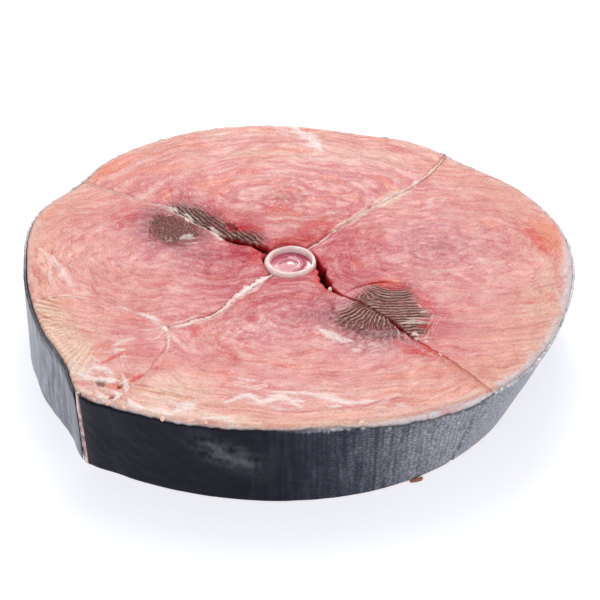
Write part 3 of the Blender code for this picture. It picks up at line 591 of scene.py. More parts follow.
def clip_range(line, start_radius, end_inside):
    """First and last place of a line between a circle round the backbone and the inside of the skin."""
    radius = np.linalg.norm(line, axis=1)
    limit = ring_value(TOP_RADIUS, np.arctan2(line[:, 1], line[:, 0])) - end_inside
    first = int(np.argmax(radius > start_radius))
    return first, first + int(np.argmax(radius[first:] > limit[first:])) - 1


def coons(low, high, start, end, u, v):
    """Plan points between four edges: the sum of both straight blends less the blend of the corners."""
    uu, vv = u[:, None, None], v[None, :, None]
    # Away from a side its sharp turns are softened, so that the rows don't fold
    calm = step(0, 0.12, uu) * step(1, 0.88, uu)
    start = start + calm * (softened(start, 16) - start)
    end = end + calm * (softened(end, 16) - end)
    both = (1 - vv) * low[:, None] + vv * high[:, None] + (1 - uu) * start + uu * end
    corners = (1 - uu) * ((1 - vv) * low[0] + vv * high[0]) + uu * ((1 - vv) * low[-1] + vv * high[-1])
    return both - corners


def arc_between(first, last, radius, u):
    """Points that turn anticlockwise from one corner to the next, at a radius given by angle."""
    start = np.arctan2(first[1], first[0])
    angle = start + u * ((np.arctan2(last[1], last[0]) - start) % (2 * np.pi))
    r = radius(angle)
    return np.stack([r * np.cos(angle), r * np.sin(angle)], axis=-1)


def eased(count, ease=0.09):
    """Shares from 0 to 1 with finer steps at both ends: s - ease sin(2 pi s)."""
    share = np.linspace(0, 1, count)
    return share - ease * np.sin(2 * np.pi * share)


def bone_clearance(angle):
    """Inner radius of the loins: close round the backbone, but for a hollow where the left crack meets it."""
    away = (angle - np.radians(204) + np.pi) % (2 * np.pi) - np.pi
    return BONE_RADIUS + BONE_GAP + 2.8 * hill(away, 0.36)


def sector(seam_a, seam_b, depth, u, v, tip=None, lap=0.0):
    """Plan grid from the left side of one seam to the right side of the next, from the bone (or a blunt
    tip some way along the seams) out to the skin, and how far along its seam each row starts and ends."""
    lines = (seam_a.loin_side(1, depth, lap), seam_b.loin_side(-1, depth, lap))
    seams = (seam_a, seam_b)
    if tip is None:
        ends = [clip_range(line, BONE_RADIUS + BONE_GAP, SKIN + SKIN_GAP) for line in lines]
    else:
        starts = [int(np.argmax(seam.along > tip)) for seam in seams]
        ends = [(k, clip_range(line, 0, SKIN + SKIN_GAP)[1]) for k, line in zip(starts, lines)]
    rows = []
    for seam, (first, last) in zip(seams, ends):
        rows.append(seam.along[first] + v * (seam.along[last] - seam.along[first]))
    a, b = (at_distance(line, seam.along, row) for line, seam, row in zip(lines, seams, rows))
    if tip is None:
        low = arc_between(a[0], b[0], bone_clearance, u)
    else:
        low = a[0] + (b[0] - a[0]) * u[:, None]
    high = arc_between(a[-1], b[-1], lambda angle: ring_value(TOP_RADIUS, angle) - SKIN - SKIN_GAP, u)
    return taper(coons(low, high, a, b, u, v), depth), rows


def edge_distances(plan):
    """Distance of each point of a grid from its two long sides, its inner end and its outer end."""
    sides = (plan[:1], plan[-1:], plan[:, :1], plan[:, -1:])
    return [np.linalg.norm(plan - side, axis=-1) for side in sides]


def from_edges(plan):
    """Distance of each point of a grid from its nearest edge."""
    return np.minimum.reduce(edge_distances(plan))


def rounding(distance, radius):
    """Fall of a rounded edge: a quarter circle, radius - sqrt(radius^2 - (radius - distance)^2)."""
    inside = np.clip(radius - distance, 0, radius)
    return radius - np.sqrt(np.maximum(radius**2 - inside**2, 0))


def lapped(distance):
    """Height over a neighbour that a piece lies on: just above it, but for its rim, which dives under it."""
    return 0.05 - 0.35 * step(0.7, 0.0, distance)


def ring_place(x, y, eye):
    """Distance from a loin's middle over its stretched rings, and the angle round it."""
    along, across = turned(x - EYES[eye][0], y - EYES[eye][1])
    along = along / RING_STRETCH
    sway = 1.6 * patches(x, y, 9, 31, 60) + 0.5 * patches(x, y, 2.7, 32, 60)
    return np.hypot(along, across) + sway, np.arctan2(across, along)


def fibre_vector(points, eye):
    """Place in the fibres' own space: a cylinder whose height is the distance over the rings, so that
    a pattern on it runs in long dashes round the loin's middle and has no join."""
    far, angle = ring_place(points[..., 0], points[..., 1], eye)
    turns = 6.5
    height = far / 0.75 + (THICKNESS - points[..., 2]) / 2.5
    return np.stack([turns * np.cos(angle), turns * np.sin(angle), height], axis=-1)


def cut_height(x, y):
    """Height of the cut face: slow waves and lumps that all pieces share, so that they meet flush."""
    return THICKNESS + 0.30 * patches(x, y, 11, 43, 50) + 0.12 * patches(x, y, 3.2, 44, 50)


def flesh_relief(x, y, eye):
    """Height of the rings, bundles and fibres of the muscle on a cut face."""
    far, angle = ring_place(x, y, eye)
    cells = (angle / (2 * np.pi)) % 1
    rings = np.sin(2 * np.pi * far / 5.2) * hill(far, 26)
    bundles = noise(cells * 36, far / 1.9, 41, wrap=36)
    fibres = noise(cells * 64, far / 0.8, 42, wrap=64)
    return 0.12 * rings + 0.15 * bundles + 0.08 * fibres


def near_line(x, y, points):
    """Distance from the nearest segment of a line through the given points, and how far along it that is."""
    line = smooth_line(points, 40)
    best = np.full(x.shape, 1e9)
    share = np.zeros(x.shape)
    for k, (a, b) in enumerate(zip(line[:-1], line[1:])):
        way = b - a
        t = np.clip(((x - a[0]) * way[0] + (y - a[1]) * way[1]) / (way @ way), 0, 1)
        away = np.hypot(x - a[0] - t * way[0], y - a[1] - t * way[1])
        share = np.where(away < best, (k + t) / (len(line) - 1), share)
        best = np.minimum(best, away)
    return best, share


def line_covers(x, y, name):
    """Colour of each soft line of a region and how much it covers each point: full near its middle, thinner
    to both ends, and frayed."""
    fray = 0.45 * patches(x, y, 1.1, 51, 80) + 0.5 * patches(x, y, 2.9, 52, 80)
    for hue, half, strength, points in LINES[name]:
        away, share = near_line(x, y, points)
        width = half * (0.45 + 0.9 * np.sin(np.pi * np.clip(share, 0.02, 0.98)))
        cover = strength * step(1.7, 0.4, (away + 1.1 * fray * half) / width)
        yield hue, np.clip(cover * (0.85 + 0.4 * fray), 0, 1)


def streak_cover(x, y, name):
    """How much white fibre covers each point in a region's zones of fine streaks."""
    cover = np.zeros(x.shape)
    fray = patches(x, y, 2.0, 55, 80)
    for strength, cx, cy, long, wide, turn in STREAKS[name]:
        a, b = turned(x - cx, y - cy, np.radians(turn))
        inside = np.exp(-(((a / long) ** 2 + (b / wide) ** 2) ** 1.3))
        fibre = noise(a / 4.2 + 60 + 0.3 * fray, b / 0.62 + 60 + fray, 53)
        fibre += 0.4 * noise(a / 1.6 + 60, b / 0.4 + 60, 54)
        cover = np.maximum(cover, strength * inside * step(0.25, 0.85, fibre))
    return np.clip(cover, 0, 1)


def dark_gap(x, y, region):
    """Signed distance to the rim of a region's dark colour, negative inside: the distance from the closed
    line, and inside where a ray to the right crosses it an odd number of times."""
    points = DARK_RIMS[region]
    line = smooth_line(points + points[:1], 60)
    inside = np.zeros(x.shape, bool)
    best = np.full(x.shape, 1e9)
    for (ax, ay), (bx, by) in zip(line[:-1], line[1:]):
        inside ^= ((ay > y) != (by > y)) & (x < (bx - ax) * (y - ay) / (by - ay if by != ay else 1e-9) + ax)
        t = np.clip(((x - ax) * (bx - ax) + (y - ay) * (by - ay)) / ((bx - ax) ** 2 + (by - ay) ** 2), 0, 1)
        best = np.minimum(best, np.hypot(x - ax - t * (bx - ax), y - ay - t * (by - ay)))
    return np.where(inside, -best, best)


def dark_relief(x, y, region):
    """Height of the dark muscle's ridges, where there is any."""
    if region not in DARK_RIMS:
        return np.zeros(x.shape)
    return 0.16 * dark_pattern(x, y, region) * step(1.8, -1.0, dark_gap(x, y, region))


def stain(colours, x, y, stains):
    """Lays stains over colours: each a soft ellipse, exp(-(distance)^2.6), with a frayed edge."""
    wx = x + 1.5 * patches(x, y, 4.0, 61, 20) + 0.6 * patches(x, y, 1.3, 62, 20)
    wy = y + 1.5 * patches(x, y, 4.0, 63, 20) + 0.6 * patches(x, y, 1.3, 64, 20)
    patchy = 1 + 0.5 * patches(x, y, 1.8, 65, 10)
    for hue, strength, cx, cy, long, wide, turn in stains:
        a, b = turned(wx - cx, wy - cy, np.radians(turn))
        reach = np.exp(-(np.hypot(a / long, b / wide) ** 2.6) * 0.8)
        colours = mix(colours, hue, strength * reach * patchy)
    return colours


def dark_pattern(x, y, region):
    """The ridges of a region's dark muscle, from -1 in their gaps to 1 on their tops. They are waves of a
    phase: over a fan's angle, over bent parallels, or over a direction that wanders."""
    long, up = turned(x, y)
    slow, fast = patches(x, y, 2.8, 82, 70), patches(x, y, 1.0, 83, 70)
    if region == "belly_right":
        bent = up - 0.06 * (long - 28) ** 2 * step(-21, -14, up)
        return np.sin(2 * np.pi * bent / 1.2 + 1.6 * slow + 1.0 * fast)
    if region == "back_right":
        angle = np.arctan2(up - FAN_FOCUS[1], long - FAN_FOCUS[0])
        return np.sin(angle * FAN_RIDGES + 1.8 * slow + 1.6 * fast)
    if region == "belly_left":
        return np.sin((up + 1.47 * long) * 2 * np.pi / 2.0 + 1.6 * slow + 1.2 * fast)
    return np.sin(long * 2 * np.pi / 1.15 + 4.2 * slow + 2.6 * fast)


def dark_tint(colours, x, y, region):
    """Lays the dark muscle over the light: brown with painted highlights on its ridge tops and painted shade
    in the gaps between, a soft ragged edge, and a fringe outside it where blood runs on into the light
    muscle. Returns the colours and the share that is dark."""
    soft = 1.5 * patches(x, y, 2.2, 89, 33) + 1.2 * patches(x, y, 0.8, 90, 33)
    gap = dark_gap(x, y, region) + soft * (0.4 if region == "belly_left" else 0.75)
    ridge = dark_pattern(x, y, region)
    blotch = 0.6 * patches(x, y, 3, 87, 35) + 0.6 * patches(x, y, 0.9, 88, 35)
    fringe = step(8.0, 0.5, gap + 1.8 * blotch)
    colours = mix(colours, "plum" if region.startswith("back") else "flush", 0.75 * fringe)
    colours = mix(colours, "maroon", 0.65 * step(3.4, 0.2, gap + 0.8 * blotch))
    if region.endswith("right"):
        near = fringe * step(5.0, 0.5, gap)
        colours = mix(colours, "pale", 0.5 * near * step(0.4, 1.0, ridge))
        colours = mix(colours, "maroon", 0.35 * near * step(-0.2, -0.9, ridge))
    up = turned(x, y)[1]
    strong = {"back_left": step(14.5, 10.0, up), "back_right": step(-19.0, -23.5, up)}.get(region, 1.0)
    strong = strong * 0.8 + 0.2
    dark = flat("taupe", x)
    if region == "back_right":
        dark = mix(dark, "gold", 0.85 * step(-26.0, -20.5, up + 0.8 * blotch))
        dark = mix(dark, "plum", 0.55 * step(-27.5, -31.5, up + 0.8 * blotch))
    depth = {"belly_left": 0.55, "back_left": 0.25}.get(region, 0.1)
    dark = mix(dark, "umber", depth + 0.45 * step(0.0, 0.9, blotch))
    # Painted shade in the gaps between the ridges and painted highlights on their tops, strongest low in each
    # back lens
    dark = mix(dark, "umber", 0.55 * strong * step(0.2, -0.9, ridge))
    dark = mix(dark, "glint", 0.60 * strong * step(0.55, 1.1, ridge + 0.5 * blotch))
    share = step(1.4, -1.1, gap)
    return blend(colours, dark, share), share


def flesh_tint(points, name, eye):
    """Colour of raw flesh at each point: muscle in arcs of red and pale round its middle, redder at the bone,
    pale at the rim, with the stains, lines, streaks and dark muscle of its region; a crack's walls are wet
    and red, and below they are painted dark as the crack's shade."""
    x, y = points[..., 0], points[..., 1]
    depth = cut_height(x, y) + proud(x, y, name) - points[..., 2]
    radius, angle = np.hypot(x, y), np.arctan2(y, x)
    outer = ring_value(TOP_RADIUS, angle)
    drawn = ring_value(UNDERCUT, angle) * np.clip(radius / outer, 0, 1) ** 3 * depth / THICKNESS
    rim = outer - radius - drawn
    far, turn = ring_place(x, y, eye)
    cells = (turn / (2 * np.pi)) % 1
    redness, deep, arcing, lilac = CHARACTER[name]
    mottle = 0.6 * patches(x, y, 6, 71, 30) + 0.5 * patches(x, y, 2.2, 72, 30)
    arcs = noise(cells * 12, far / 1.9, 77, wrap=12) + 0.6 * noise(cells * 26, far / 0.9, 78, wrap=26)
    dashes = noise(cells * 40, far / 1.0, 73, wrap=40) + 0.6 * noise(cells * 80, far / 0.5, 74, wrap=80)
    bands = np.sin(2 * np.pi * far / 2.3 + 2 * mottle) * hill(far, 13)
    colours = flat("muscle", x)
    colours = mix(colours, "pale", 0.55 * step(0.0, 0.9, mottle))
    colours = mix(colours, "deep", 0.55 * step(0.0, -0.9, mottle))
    colours = mix(colours, "lilac", lilac * step(16, 4, far + 3 * mottle))
    colours = mix(colours, "deep", deep + 0.85 * redness * step(42, 16, radius + 7 * mottle))
    near_bone = redness * step(32, 9, radius + 5 * mottle)
    colours = mix(colours, "flush", 0.88 * near_bone)
    colours = mix(mix(colours, "scarlet", 0.20 * near_bone), "maroon", 0.16 * near_bone)
    colours = mix(colours, "peach", 0.60 * step(20, 2, rim + 5 * mottle))
    colours = mix(colours, "fat", 0.80 * step(6.5, 0.5, rim + 2 * mottle))
    colours = stain(colours, x, y, STAINS[name])
    colours = mix(colours, "orange", 0.75 * arcing * step(0.25, 1.0, arcs))
    colours = mix(colours, "pale", 0.75 * arcing * step(-0.2, -0.9, arcs))
    colours = mix(colours, "flush", 0.42 * step(0.35, 1.2, dashes))
    colours = mix(colours, "deep", 0.45 * step(0.2, 1.0, bands))
    light = 0.60 * step(-0.25, -1.1, dashes) + 0.35 * step(-0.2, -1.0, bands)
    colours = mix(colours, "pale", light * (1 - 0.85 * near_bone))
    shown = 1 - 0.7 * near_bone
    if name in LENSES:
        colours, share = dark_tint(colours, x, y, name)
        shown = shown * (1 - 0.7 * share)
    shallow = step(1.5, 0.4, depth)
    colours = mix(colours, "white", streak_cover(x, y, name) * shallow)
    for hue, cover in line_covers(x, y, name):
        colours = mix(colours, hue, cover * step(3.0, 0.8, depth))
        shown = shown * (1 - 0.9 * cover)
    # The bared fat under the slipped edge of the skin, on the flesh's outer wall
    colours = mix(colours, "belly", 0.85 * step(0.5, 1.0, depth) * step(1.7, 1.1, rim))
    inner = step(0.25, 1.0, depth) * step(2.0, 5.0, rim) * step(1.0, 3.0, points[..., 2])
    colours = mix(colours, "wall", 0.95 * inner)
    # Painted shade darkens a crack's walls below: it starts deepest on the lit wall behind the backbone,
    # and highest in the narrow left crack
    lit, left = (np.abs(x) < 7.5) & (y > 0), x < -8
    low, high = np.where(lit, 2.2, np.where(left, 0.2, 0.4)), np.where(lit, 7.5, np.where(left, 1.8, 3.2))
    colours = mix(colours, "gore_and_shade", 0.97 * inner * step(low, high, depth))
    # Fourth, how plainly single fibres show: less in red and dark places
    return joined(colours, shown * (1 - 0.95 * inner))


def grid_of(rows, columns):
    """The numbers of a grid's points once round its rim, and its faces."""
    grid = np.arange(rows * columns).reshape(rows, columns)
    rim = np.concatenate([grid[:-1, 0], grid[-1, :-1], grid[:0:-1, -1], grid[0, :0:-1]])
    face = np.stack([grid[:-1, :-1], grid[1:, :-1], grid[1:, 1:], grid[:-1, 1:]], axis=-1).reshape(-1, 4)
    return rim, face


def wall(upper, lower):
    """Faces between two closed rows of points."""
    return np.stack([upper, lower, np.roll(lower, -1), np.roll(upper, -1)], axis=-1)


def slab(name, levels, attributes=None):
    """Closed piece from stacked levels, each a grid of points: the first and the last are whole faces,
    and only the rims of those between are used, as the wall. attributes maps a name to a function of the
    points that gives a value, a vector or a colour for each."""
    rim, face = grid_of(*levels[0].shape[:2])
    rims = [rim]
    points = [levels[0].reshape(-1, 3)]
    count = len(points[0])
    for level in levels[1:-1]:
        points.append(level.reshape(-1, 3)[rim])
        rims.append(np.arange(count, count + len(rim)))
        count += len(rim)
    points.append(levels[-1].reshape(-1, 3))
    rims.append(rim + count)
    quads = [face, (face + count)[:, ::-1]]
    quads += [wall(upper, lower) for upper, lower in zip(rims[:-1], rims[1:])]
    return put_mesh(name, np.concatenate(points), np.concatenate(quads), attributes)


def tube(name, sections, attributes=None):
    """Closed piece that is a ring both ways: sections round the ring, points round each section."""
    rows, columns = sections.shape[:2]
    grid = np.arange(rows * columns).reshape(rows, columns)
    on, up = np.roll(grid, -1, axis=0), np.roll(grid, -1, axis=1)
    quads = np.stack([grid, on, np.roll(on, -1, axis=1), up], axis=-1)
    return put_mesh(name, sections.reshape(-1, 3), quads.reshape(-1, 4), attributes)


def put_mesh(name, points, quads, attributes=None):
    """Object of quads from points in millimetres about the backbone, faces outwards and smooth."""
    p = points[quads]
    volume = np.einsum("ij,ij->i", p[:, 0], np.cross(p[:, 1], p[:, 2]) + np.cross(p[:, 2], p[:, 3])).sum()
    if volume < 0:
        quads = quads[:, ::-1]
    placed = (points + np.array([*AXIS, 0])) * MM
    mesh = bpy.data.meshes.new(name)
    mesh.vertices.add(len(points))
    mesh.vertices.foreach_set("co", placed.astype(np.float32).ravel())
    mesh.loops.add(quads.size)
    mesh.loops.foreach_set("vertex_index", quads.astype(np.int32).ravel())
    mesh.polygons.add(len(quads))
    mesh.polygons.foreach_set("loop_start", np.arange(0, quads.size, 4, dtype=np.int32))
    mesh.polygons.foreach_set("use_smooth", np.ones(len(quads), bool))
    mesh.update(calc_edges=True)
    for key, function in (attributes or {}).items():
        values = function(points)
        if key == "tint":
            store = mesh.attributes.new(key, "FLOAT_COLOR", "POINT")
            values = np.column_stack([values, np.ones(len(values))])[:, :4]
            store.data.foreach_set("color", values.astype(np.float32).ravel())
        else:
            store = mesh.attributes.new(key, "FLOAT_VECTOR", "POINT")
            store.data.foreach_set("vector", values.astype(np.float32).ravel())
    obj = bpy.data.objects.new(name, mesh)
    bpy.context.scene.collection.objects.link(obj)
    return obj


def dress(obj, material, slot, *nodes):
    """Gives a finished piece its material and lets it stand for its solids; its slot is not used."""
    obj.data.materials.append(material)
    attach(obj, BODY)
    if nodes:
        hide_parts(*nodes)


def add(tree, kind, inputs=None, **settings):
    """Adds a node with its settings, and sets or links its inputs by name or number."""
    node = tree.nodes.new(kind)
    for key, value in settings.items():
        setattr(node, key, value)
    for key, value in (inputs or {}).items():
        if isinstance(value, bpy.types.NodeSocket):
            tree.links.new(value, node.inputs[key])
        else:
            node.inputs[key].default_value = value
    return node


def new_material(name, **sockets):
    """A Principled material with values set on its own sockets; returns it, its tree and its shader."""
    material = bpy.data.materials.new(name)
    material.use_nodes = True
    shader = material.node_tree.nodes["Principled BSDF"]
    for key, value in sockets.items():
        shader.inputs[key.replace("_", " ")].default_value = value
    return material, material.node_tree, shader


def opaque(colour):
    """A linear colour with full alpha, for a socket."""
    return (*colour, 1.0)


def flesh_material(name, colours, sizes):
    """Raw muscle, cut with a knife: soft and wet. Under a thin film of water the cut ends of the fibres
    show as short pale dashes, which are partly painted glints of that film, and light spreads a little
    below the surface."""
    material, tree, shader = new_material(
        name, IOR=1.38, Subsurface_Weight=0.12, Subsurface_Scale=0.0012, Coat_Weight=0.16, Coat_Roughness=0.2,
    )
    shader.inputs["Subsurface Radius"].default_value = (1.0, 0.35, 0.25)
    colour = add(tree, "ShaderNodeAttribute", attribute_name="tint")
    tint, shown = colour.outputs["Color"], colour.outputs["Alpha"]
    grain = add(tree, "ShaderNodeAttribute", attribute_name="grain").outputs["Vector"]
    place = add(tree, "ShaderNodeTexCoord").outputs["Object"]
    bundles = add(tree, "ShaderNodeTexNoise",
                  {"Vector": grain, "Scale": 0.9, "Detail": 3.0, "Roughness": 0.6})
    fibres = add(tree, "ShaderNodeTexNoise",
                 {"Vector": grain, "Scale": 2.3, "Detail": 2.0, "Roughness": 0.6})
    # Grains of 0.7 mm, the ends of single bundles
    grains = add(tree, "ShaderNodeTexNoise", {"Vector": place, "Scale": 1 / (0.7 * MM), "Detail": 3.0})
    red = add(tree, "ShaderNodeMapRange", {"Value": bundles.outputs[0], "From Min": 0.48, "From Max": 0.30,
                                           "To Max": 0.62})
    red = add(tree, "ShaderNodeMath", {0: red.outputs[0], 1: shown}, operation="MULTIPLY")
    base = add(tree, "ShaderNodeMix", {0: red.outputs[0], 6: tint, 7: opaque(colours["deep"])},
               data_type="RGBA")
    # Pale dashes: the fibres' cut ends, and partly painted glints of the wet film
    light = add(tree, "ShaderNodeMapRange", {"Value": fibres.outputs[0], "From Min": 0.55, "From Max": 0.70,
                                             "To Max": 0.85})
    light = add(tree, "ShaderNodeMath", {0: light.outputs[0], 1: shown}, operation="MULTIPLY")
    base = add(tree, "ShaderNodeMix", {0: light.outputs[0], 6: base.outputs[2], 7: opaque(colours["pale"])},
               data_type="RGBA")
    speck = add(tree, "ShaderNodeMapRange", {"Value": grains.outputs[0], "From Min": 0.30, "From Max": 0.70,
                                             "To Min": 0.84, "To Max": 1.12})
    base = add(tree, "ShaderNodeVectorMath", {0: base.outputs[2], "Scale": speck.outputs[0]},
               operation="SCALE")
    tree.links.new(base.outputs[0], shader.inputs["Base Color"])
    wet = add(tree, "ShaderNodeMapRange", {"Value": grains.outputs[0], "From Min": 0.35, "From Max": 0.65,
                                           "To Min": 0.18, "To Max": 0.50})
    tree.links.new(wet.outputs[0], shader.inputs["Roughness"])
    height = bundles
    for layer, share in ((fibres, 0.7), (grains, 0.5)):
        height = add(tree, "ShaderNodeMath", {0: layer.outputs[0], 1: share, 2: height.outputs[0]},
                     operation="MULTIPLY_ADD")
    bump = add(tree, "ShaderNodeBump",
               {"Height": height.outputs[0], "Strength": 0.8, "Distance": sizes.fibre * MM})
    tree.links.new(bump.outputs[0], shader.inputs["Normal"])
    return material


def tissue_material(name, colours, roughness=0.42, coat=0.3):
    """Connective tissue, fat and bone: off-white, moist and slightly see-through, streaked with pink."""
    material, tree, shader = new_material(
        name, IOR=1.42, Roughness=roughness, Subsurface_Weight=0.25, Subsurface_Scale=0.0015,
        Coat_Weight=coat, Coat_Roughness=0.2,
    )
    shader.inputs["Subsurface Radius"].default_value = (1.0, 0.5, 0.4)
    tint = add(tree, "ShaderNodeAttribute", attribute_name="tint").outputs["Color"]
    place = add(tree, "ShaderNodeTexCoord").outputs["Object"]
    threads = add(tree, "ShaderNodeTexNoise", {"Vector": place, "Scale": 1 / (0.9 * MM), "Detail": 4.0})
    pink = add(tree, "ShaderNodeMapRange", {"Value": threads.outputs[0], "From Min": 0.62, "From Max": 0.38,
                                            "To Max": 0.45})
    base = add(tree, "ShaderNodeMix", {0: pink.outputs[0], 6: tint, 7: opaque(colours["pale"])},
               data_type="RGBA")
    tree.links.new(base.outputs[2], shader.inputs["Base Color"])
    bump = add(tree, "ShaderNodeBump", {"Height": threads.outputs[0], "Strength": 0.6, "Distance": 0.2 * MM})
    tree.links.new(bump.outputs[0], shader.inputs["Normal"])
    return material


def skin_material(name):
    """Smooth fish skin: blue-black on the back and silver towards the belly, with a mosaic of small scales
    along the side. Guanine under the scales gives it a dull metal gleam."""
    material, tree, shader = new_material(name, IOR=1.25, Coat_Weight=0.03, Coat_Roughness=0.25, Metallic=0.1)
    colour = add(tree, "ShaderNodeAttribute", attribute_name="tint")
    tint, shown = colour.outputs["Color"], colour.outputs["Alpha"]
    scales = add(tree, "ShaderNodeAttribute", attribute_name="grain").outputs["Vector"]
    place = add(tree, "ShaderNodeTexCoord").outputs["Object"]
    # One cell a scale: the attribute counts scales round the fish and up the slice
    cells = add(tree, "ShaderNodeTexVoronoi", {"Vector": scales, "Scale": 1.0, "Randomness": 0.55},
                voronoi_dimensions="2D")
    marks = add(tree, "ShaderNodeTexNoise",
                {"Vector": place, "Scale": 1 / (2.2 * MM), "Detail": 4.0, "Roughness": 0.65})
    distance = cells.outputs["Distance"]
    gleam = add(tree, "ShaderNodeMapRange", {"Value": distance, "From Min": 0.42, "From Max": 0.12,
                                             "To Min": -0.30, "To Max": 0.42})
    gleam = add(tree, "ShaderNodeMath", {0: gleam.outputs[0], 1: shown, 2: 1.0}, operation="MULTIPLY_ADD")
    dull = add(tree, "ShaderNodeMapRange", {"Value": marks.outputs[0], "From Min": 0.3, "From Max": 0.7,
                                            "To Min": 0.62, "To Max": 1.32})
    shade = add(tree, "ShaderNodeMath", {0: gleam.outputs[0], 1: dull.outputs[0]}, operation="MULTIPLY")
    base = add(tree, "ShaderNodeVectorMath", {0: tint, "Scale": shade.outputs[0]}, operation="SCALE")
    tree.links.new(base.outputs[0], shader.inputs["Base Color"])
    rough = add(tree, "ShaderNodeMapRange", {"Value": marks.outputs[0], "From Min": 0.3, "From Max": 0.7,
                                             "To Min": 0.30, "To Max": 0.46})
    tree.links.new(rough.outputs[0], shader.inputs["Roughness"])
    height = add(tree, "ShaderNodeMath", {0: distance, 1: -0.8, 2: marks.outputs[0]},
                 operation="MULTIPLY_ADD")
    bump = add(tree, "ShaderNodeBump", {"Height": height.outputs[0], "Strength": 0.5, "Distance": 0.12 * MM})
    tree.links.new(bump.outputs[0], shader.inputs["Normal"])
    return material


def colour_prop(name, hue, description):
    """A colour setting that starts as one of the hues read off the fish."""
    return FloatVectorProperty(name=name, description=description, subtype="COLOR", size=3, min=0, max=1,
                               default=tuple(HUE[hue]))


class SteakSizes(bpy.types.PropertyGroup):
    """Sizes of the relief, in millimetres."""

    relief: FloatProperty(name="Relief", description="Share of the modelled relief of the cut face",
                          default=1.0, min=0.0, max=3.0, subtype="FACTOR")
    fibre: FloatProperty(name="Fibre depth", description="Depth of the finest fibres, in millimetres",
                         default=0.36, min=0.0, max=1.0, unit="NONE")
    seam_round: FloatProperty(name="Seam rounding", default=0.45, min=0.1, max=2.0, unit="NONE",
                              description="Radius of the flesh's edge along a seam, in mm")
    rim_round: FloatProperty(name="Rim rounding", description="Radius of the flesh's edge at the skin, in mm",
                             default=1.0, min=0.2, max=3.0, unit="NONE")


class SteakColours(bpy.types.PropertyGroup):
    """Colours of the fibres that lie over the flesh's own tint."""

    deep: colour_prop("Deep fibre", "deep", "Darker bundles of the light muscle")
    pale: colour_prop("Pale fibre", "pale", "Lighter fibres of the light muscle")


def colours_of(scene):
    """The chosen fibre colours by name."""
    chosen = scene.steak_colours
    return {key: tuple(getattr(chosen, key)) for key in ("deep", "pale")}


# The two seams of each loin, anticlockwise, and the depths of a flesh piece's levels, in thicknesses
LOINS = {
    "belly_right": ("right", "belly"), "belly_left": ("belly", "left"), "back_left": ("left", "back_left"),
    "back_right": ("back_right", "right"),
}
LEVELS = (0.0, 0.02, 0.05, 0.10, 0.16, 0.24, 0.34, 0.46, 0.60, 0.74, 0.87, 0.96, 1.0)


def top_of(patch, seams, u, v, sizes, crown, name, eye):
    """Height of a flesh piece's cut face: the shared cut, a crown, rounded edges where a seam gapes, the
    relief, and raised sinews."""
    plan, rows = patch
    uu, vv = u[:, None], v[None, :]
    swell = (1 - (2 * uu - 1) ** 4) * (1 - (2 * vv - 1) ** 4)
    near_a, near_b, inner, outer = edge_distances(plan)
    fall = rounding(near_a, sizes.seam_round) * seams[0].openness(1, rows[0])
    fall += rounding(near_b, sizes.seam_round) * seams[1].openness(-1, rows[1])
    fall += rounding(inner, sizes.seam_round) + rounding(outer, sizes.rim_round)
    x, y = plan[..., 0], plan[..., 1]
    calm = step(0.0, 2.0, from_edges(plan))
    height = cut_height(x, y) + crown * swell - np.minimum(fall, sizes.rim_round) + proud(x, y, name)
    marks = 0.14 * streak_cover(x, y, name) + dark_relief(x, y, name)
    for hue, cover in line_covers(x, y, name):
        marks = marks + STANDS.get(hue, 0.0) * cover
    return height + calm * sizes.relief * flesh_relief(x, y, eye) + step(0.0, 0.8, outer) * marks


def proud(x, y, region):
    """Extra height where the two left loins stand up beside the crack: a round swell each."""
    if region not in SWELLS:
        return np.zeros(x.shape)
    height, middle_x, middle_y, reach = SWELLS[region]
    return height * hill(np.hypot(x - middle_x, y - middle_y), reach)


def carve(name, shape, top, seed, material, slot, node, region, eye, tint=None):
    """Makes a piece of flesh from its plan by depth and the height of its cut face, down to its lower face,
    which is cut too and lies on the floor."""
    lower = shape(THICKNESS)
    foot = 0.12 + 0.12 * patches(lower[..., 0], lower[..., 1], 2.0, seed, 90)
    foot = foot + rounding(from_edges(lower), 0.5)
    levels = [joined(shape(share * THICKNESS), top * (1 - share) + foot * share) for share in LEVELS]
    obj = slab(name, levels, {
        "tint": tint or (lambda points: flesh_tint(points, region, eye)),
        "grain": lambda points: fibre_vector(points, eye),
    })
    dress(obj, material, slot, node)


class STEAK_OT_loins(bpy.types.Operator):
    """Models the four loins of light muscle as closed blocks of flesh between the seams"""

    bl_idname = "steak.loins"
    bl_label = "Loins"

    def execute(self, context):
        sizes = context.scene.steak_sizes
        material = flesh_material("raw_light_muscle", colours_of(context.scene), sizes)
        seams, _ = make_seams()
        u, v = eased(LOIN_GRID[0]), eased(LOIN_GRID[1], 0.06)
        for name, (first, second) in LOINS.items():
            sides = (seams[first], seams[second])

            def shape(depth, sides=sides):
                return sector(*sides, depth, u, v)[0]

            top = top_of(sector(*sides, 0.0, u, v), sides, u, v, sizes, 0.7, name, name)
            carve("flesh_" + name, shape, top, 5, material, "flesh", "loin_" + name, name, name)
        return {"FINISHED"}


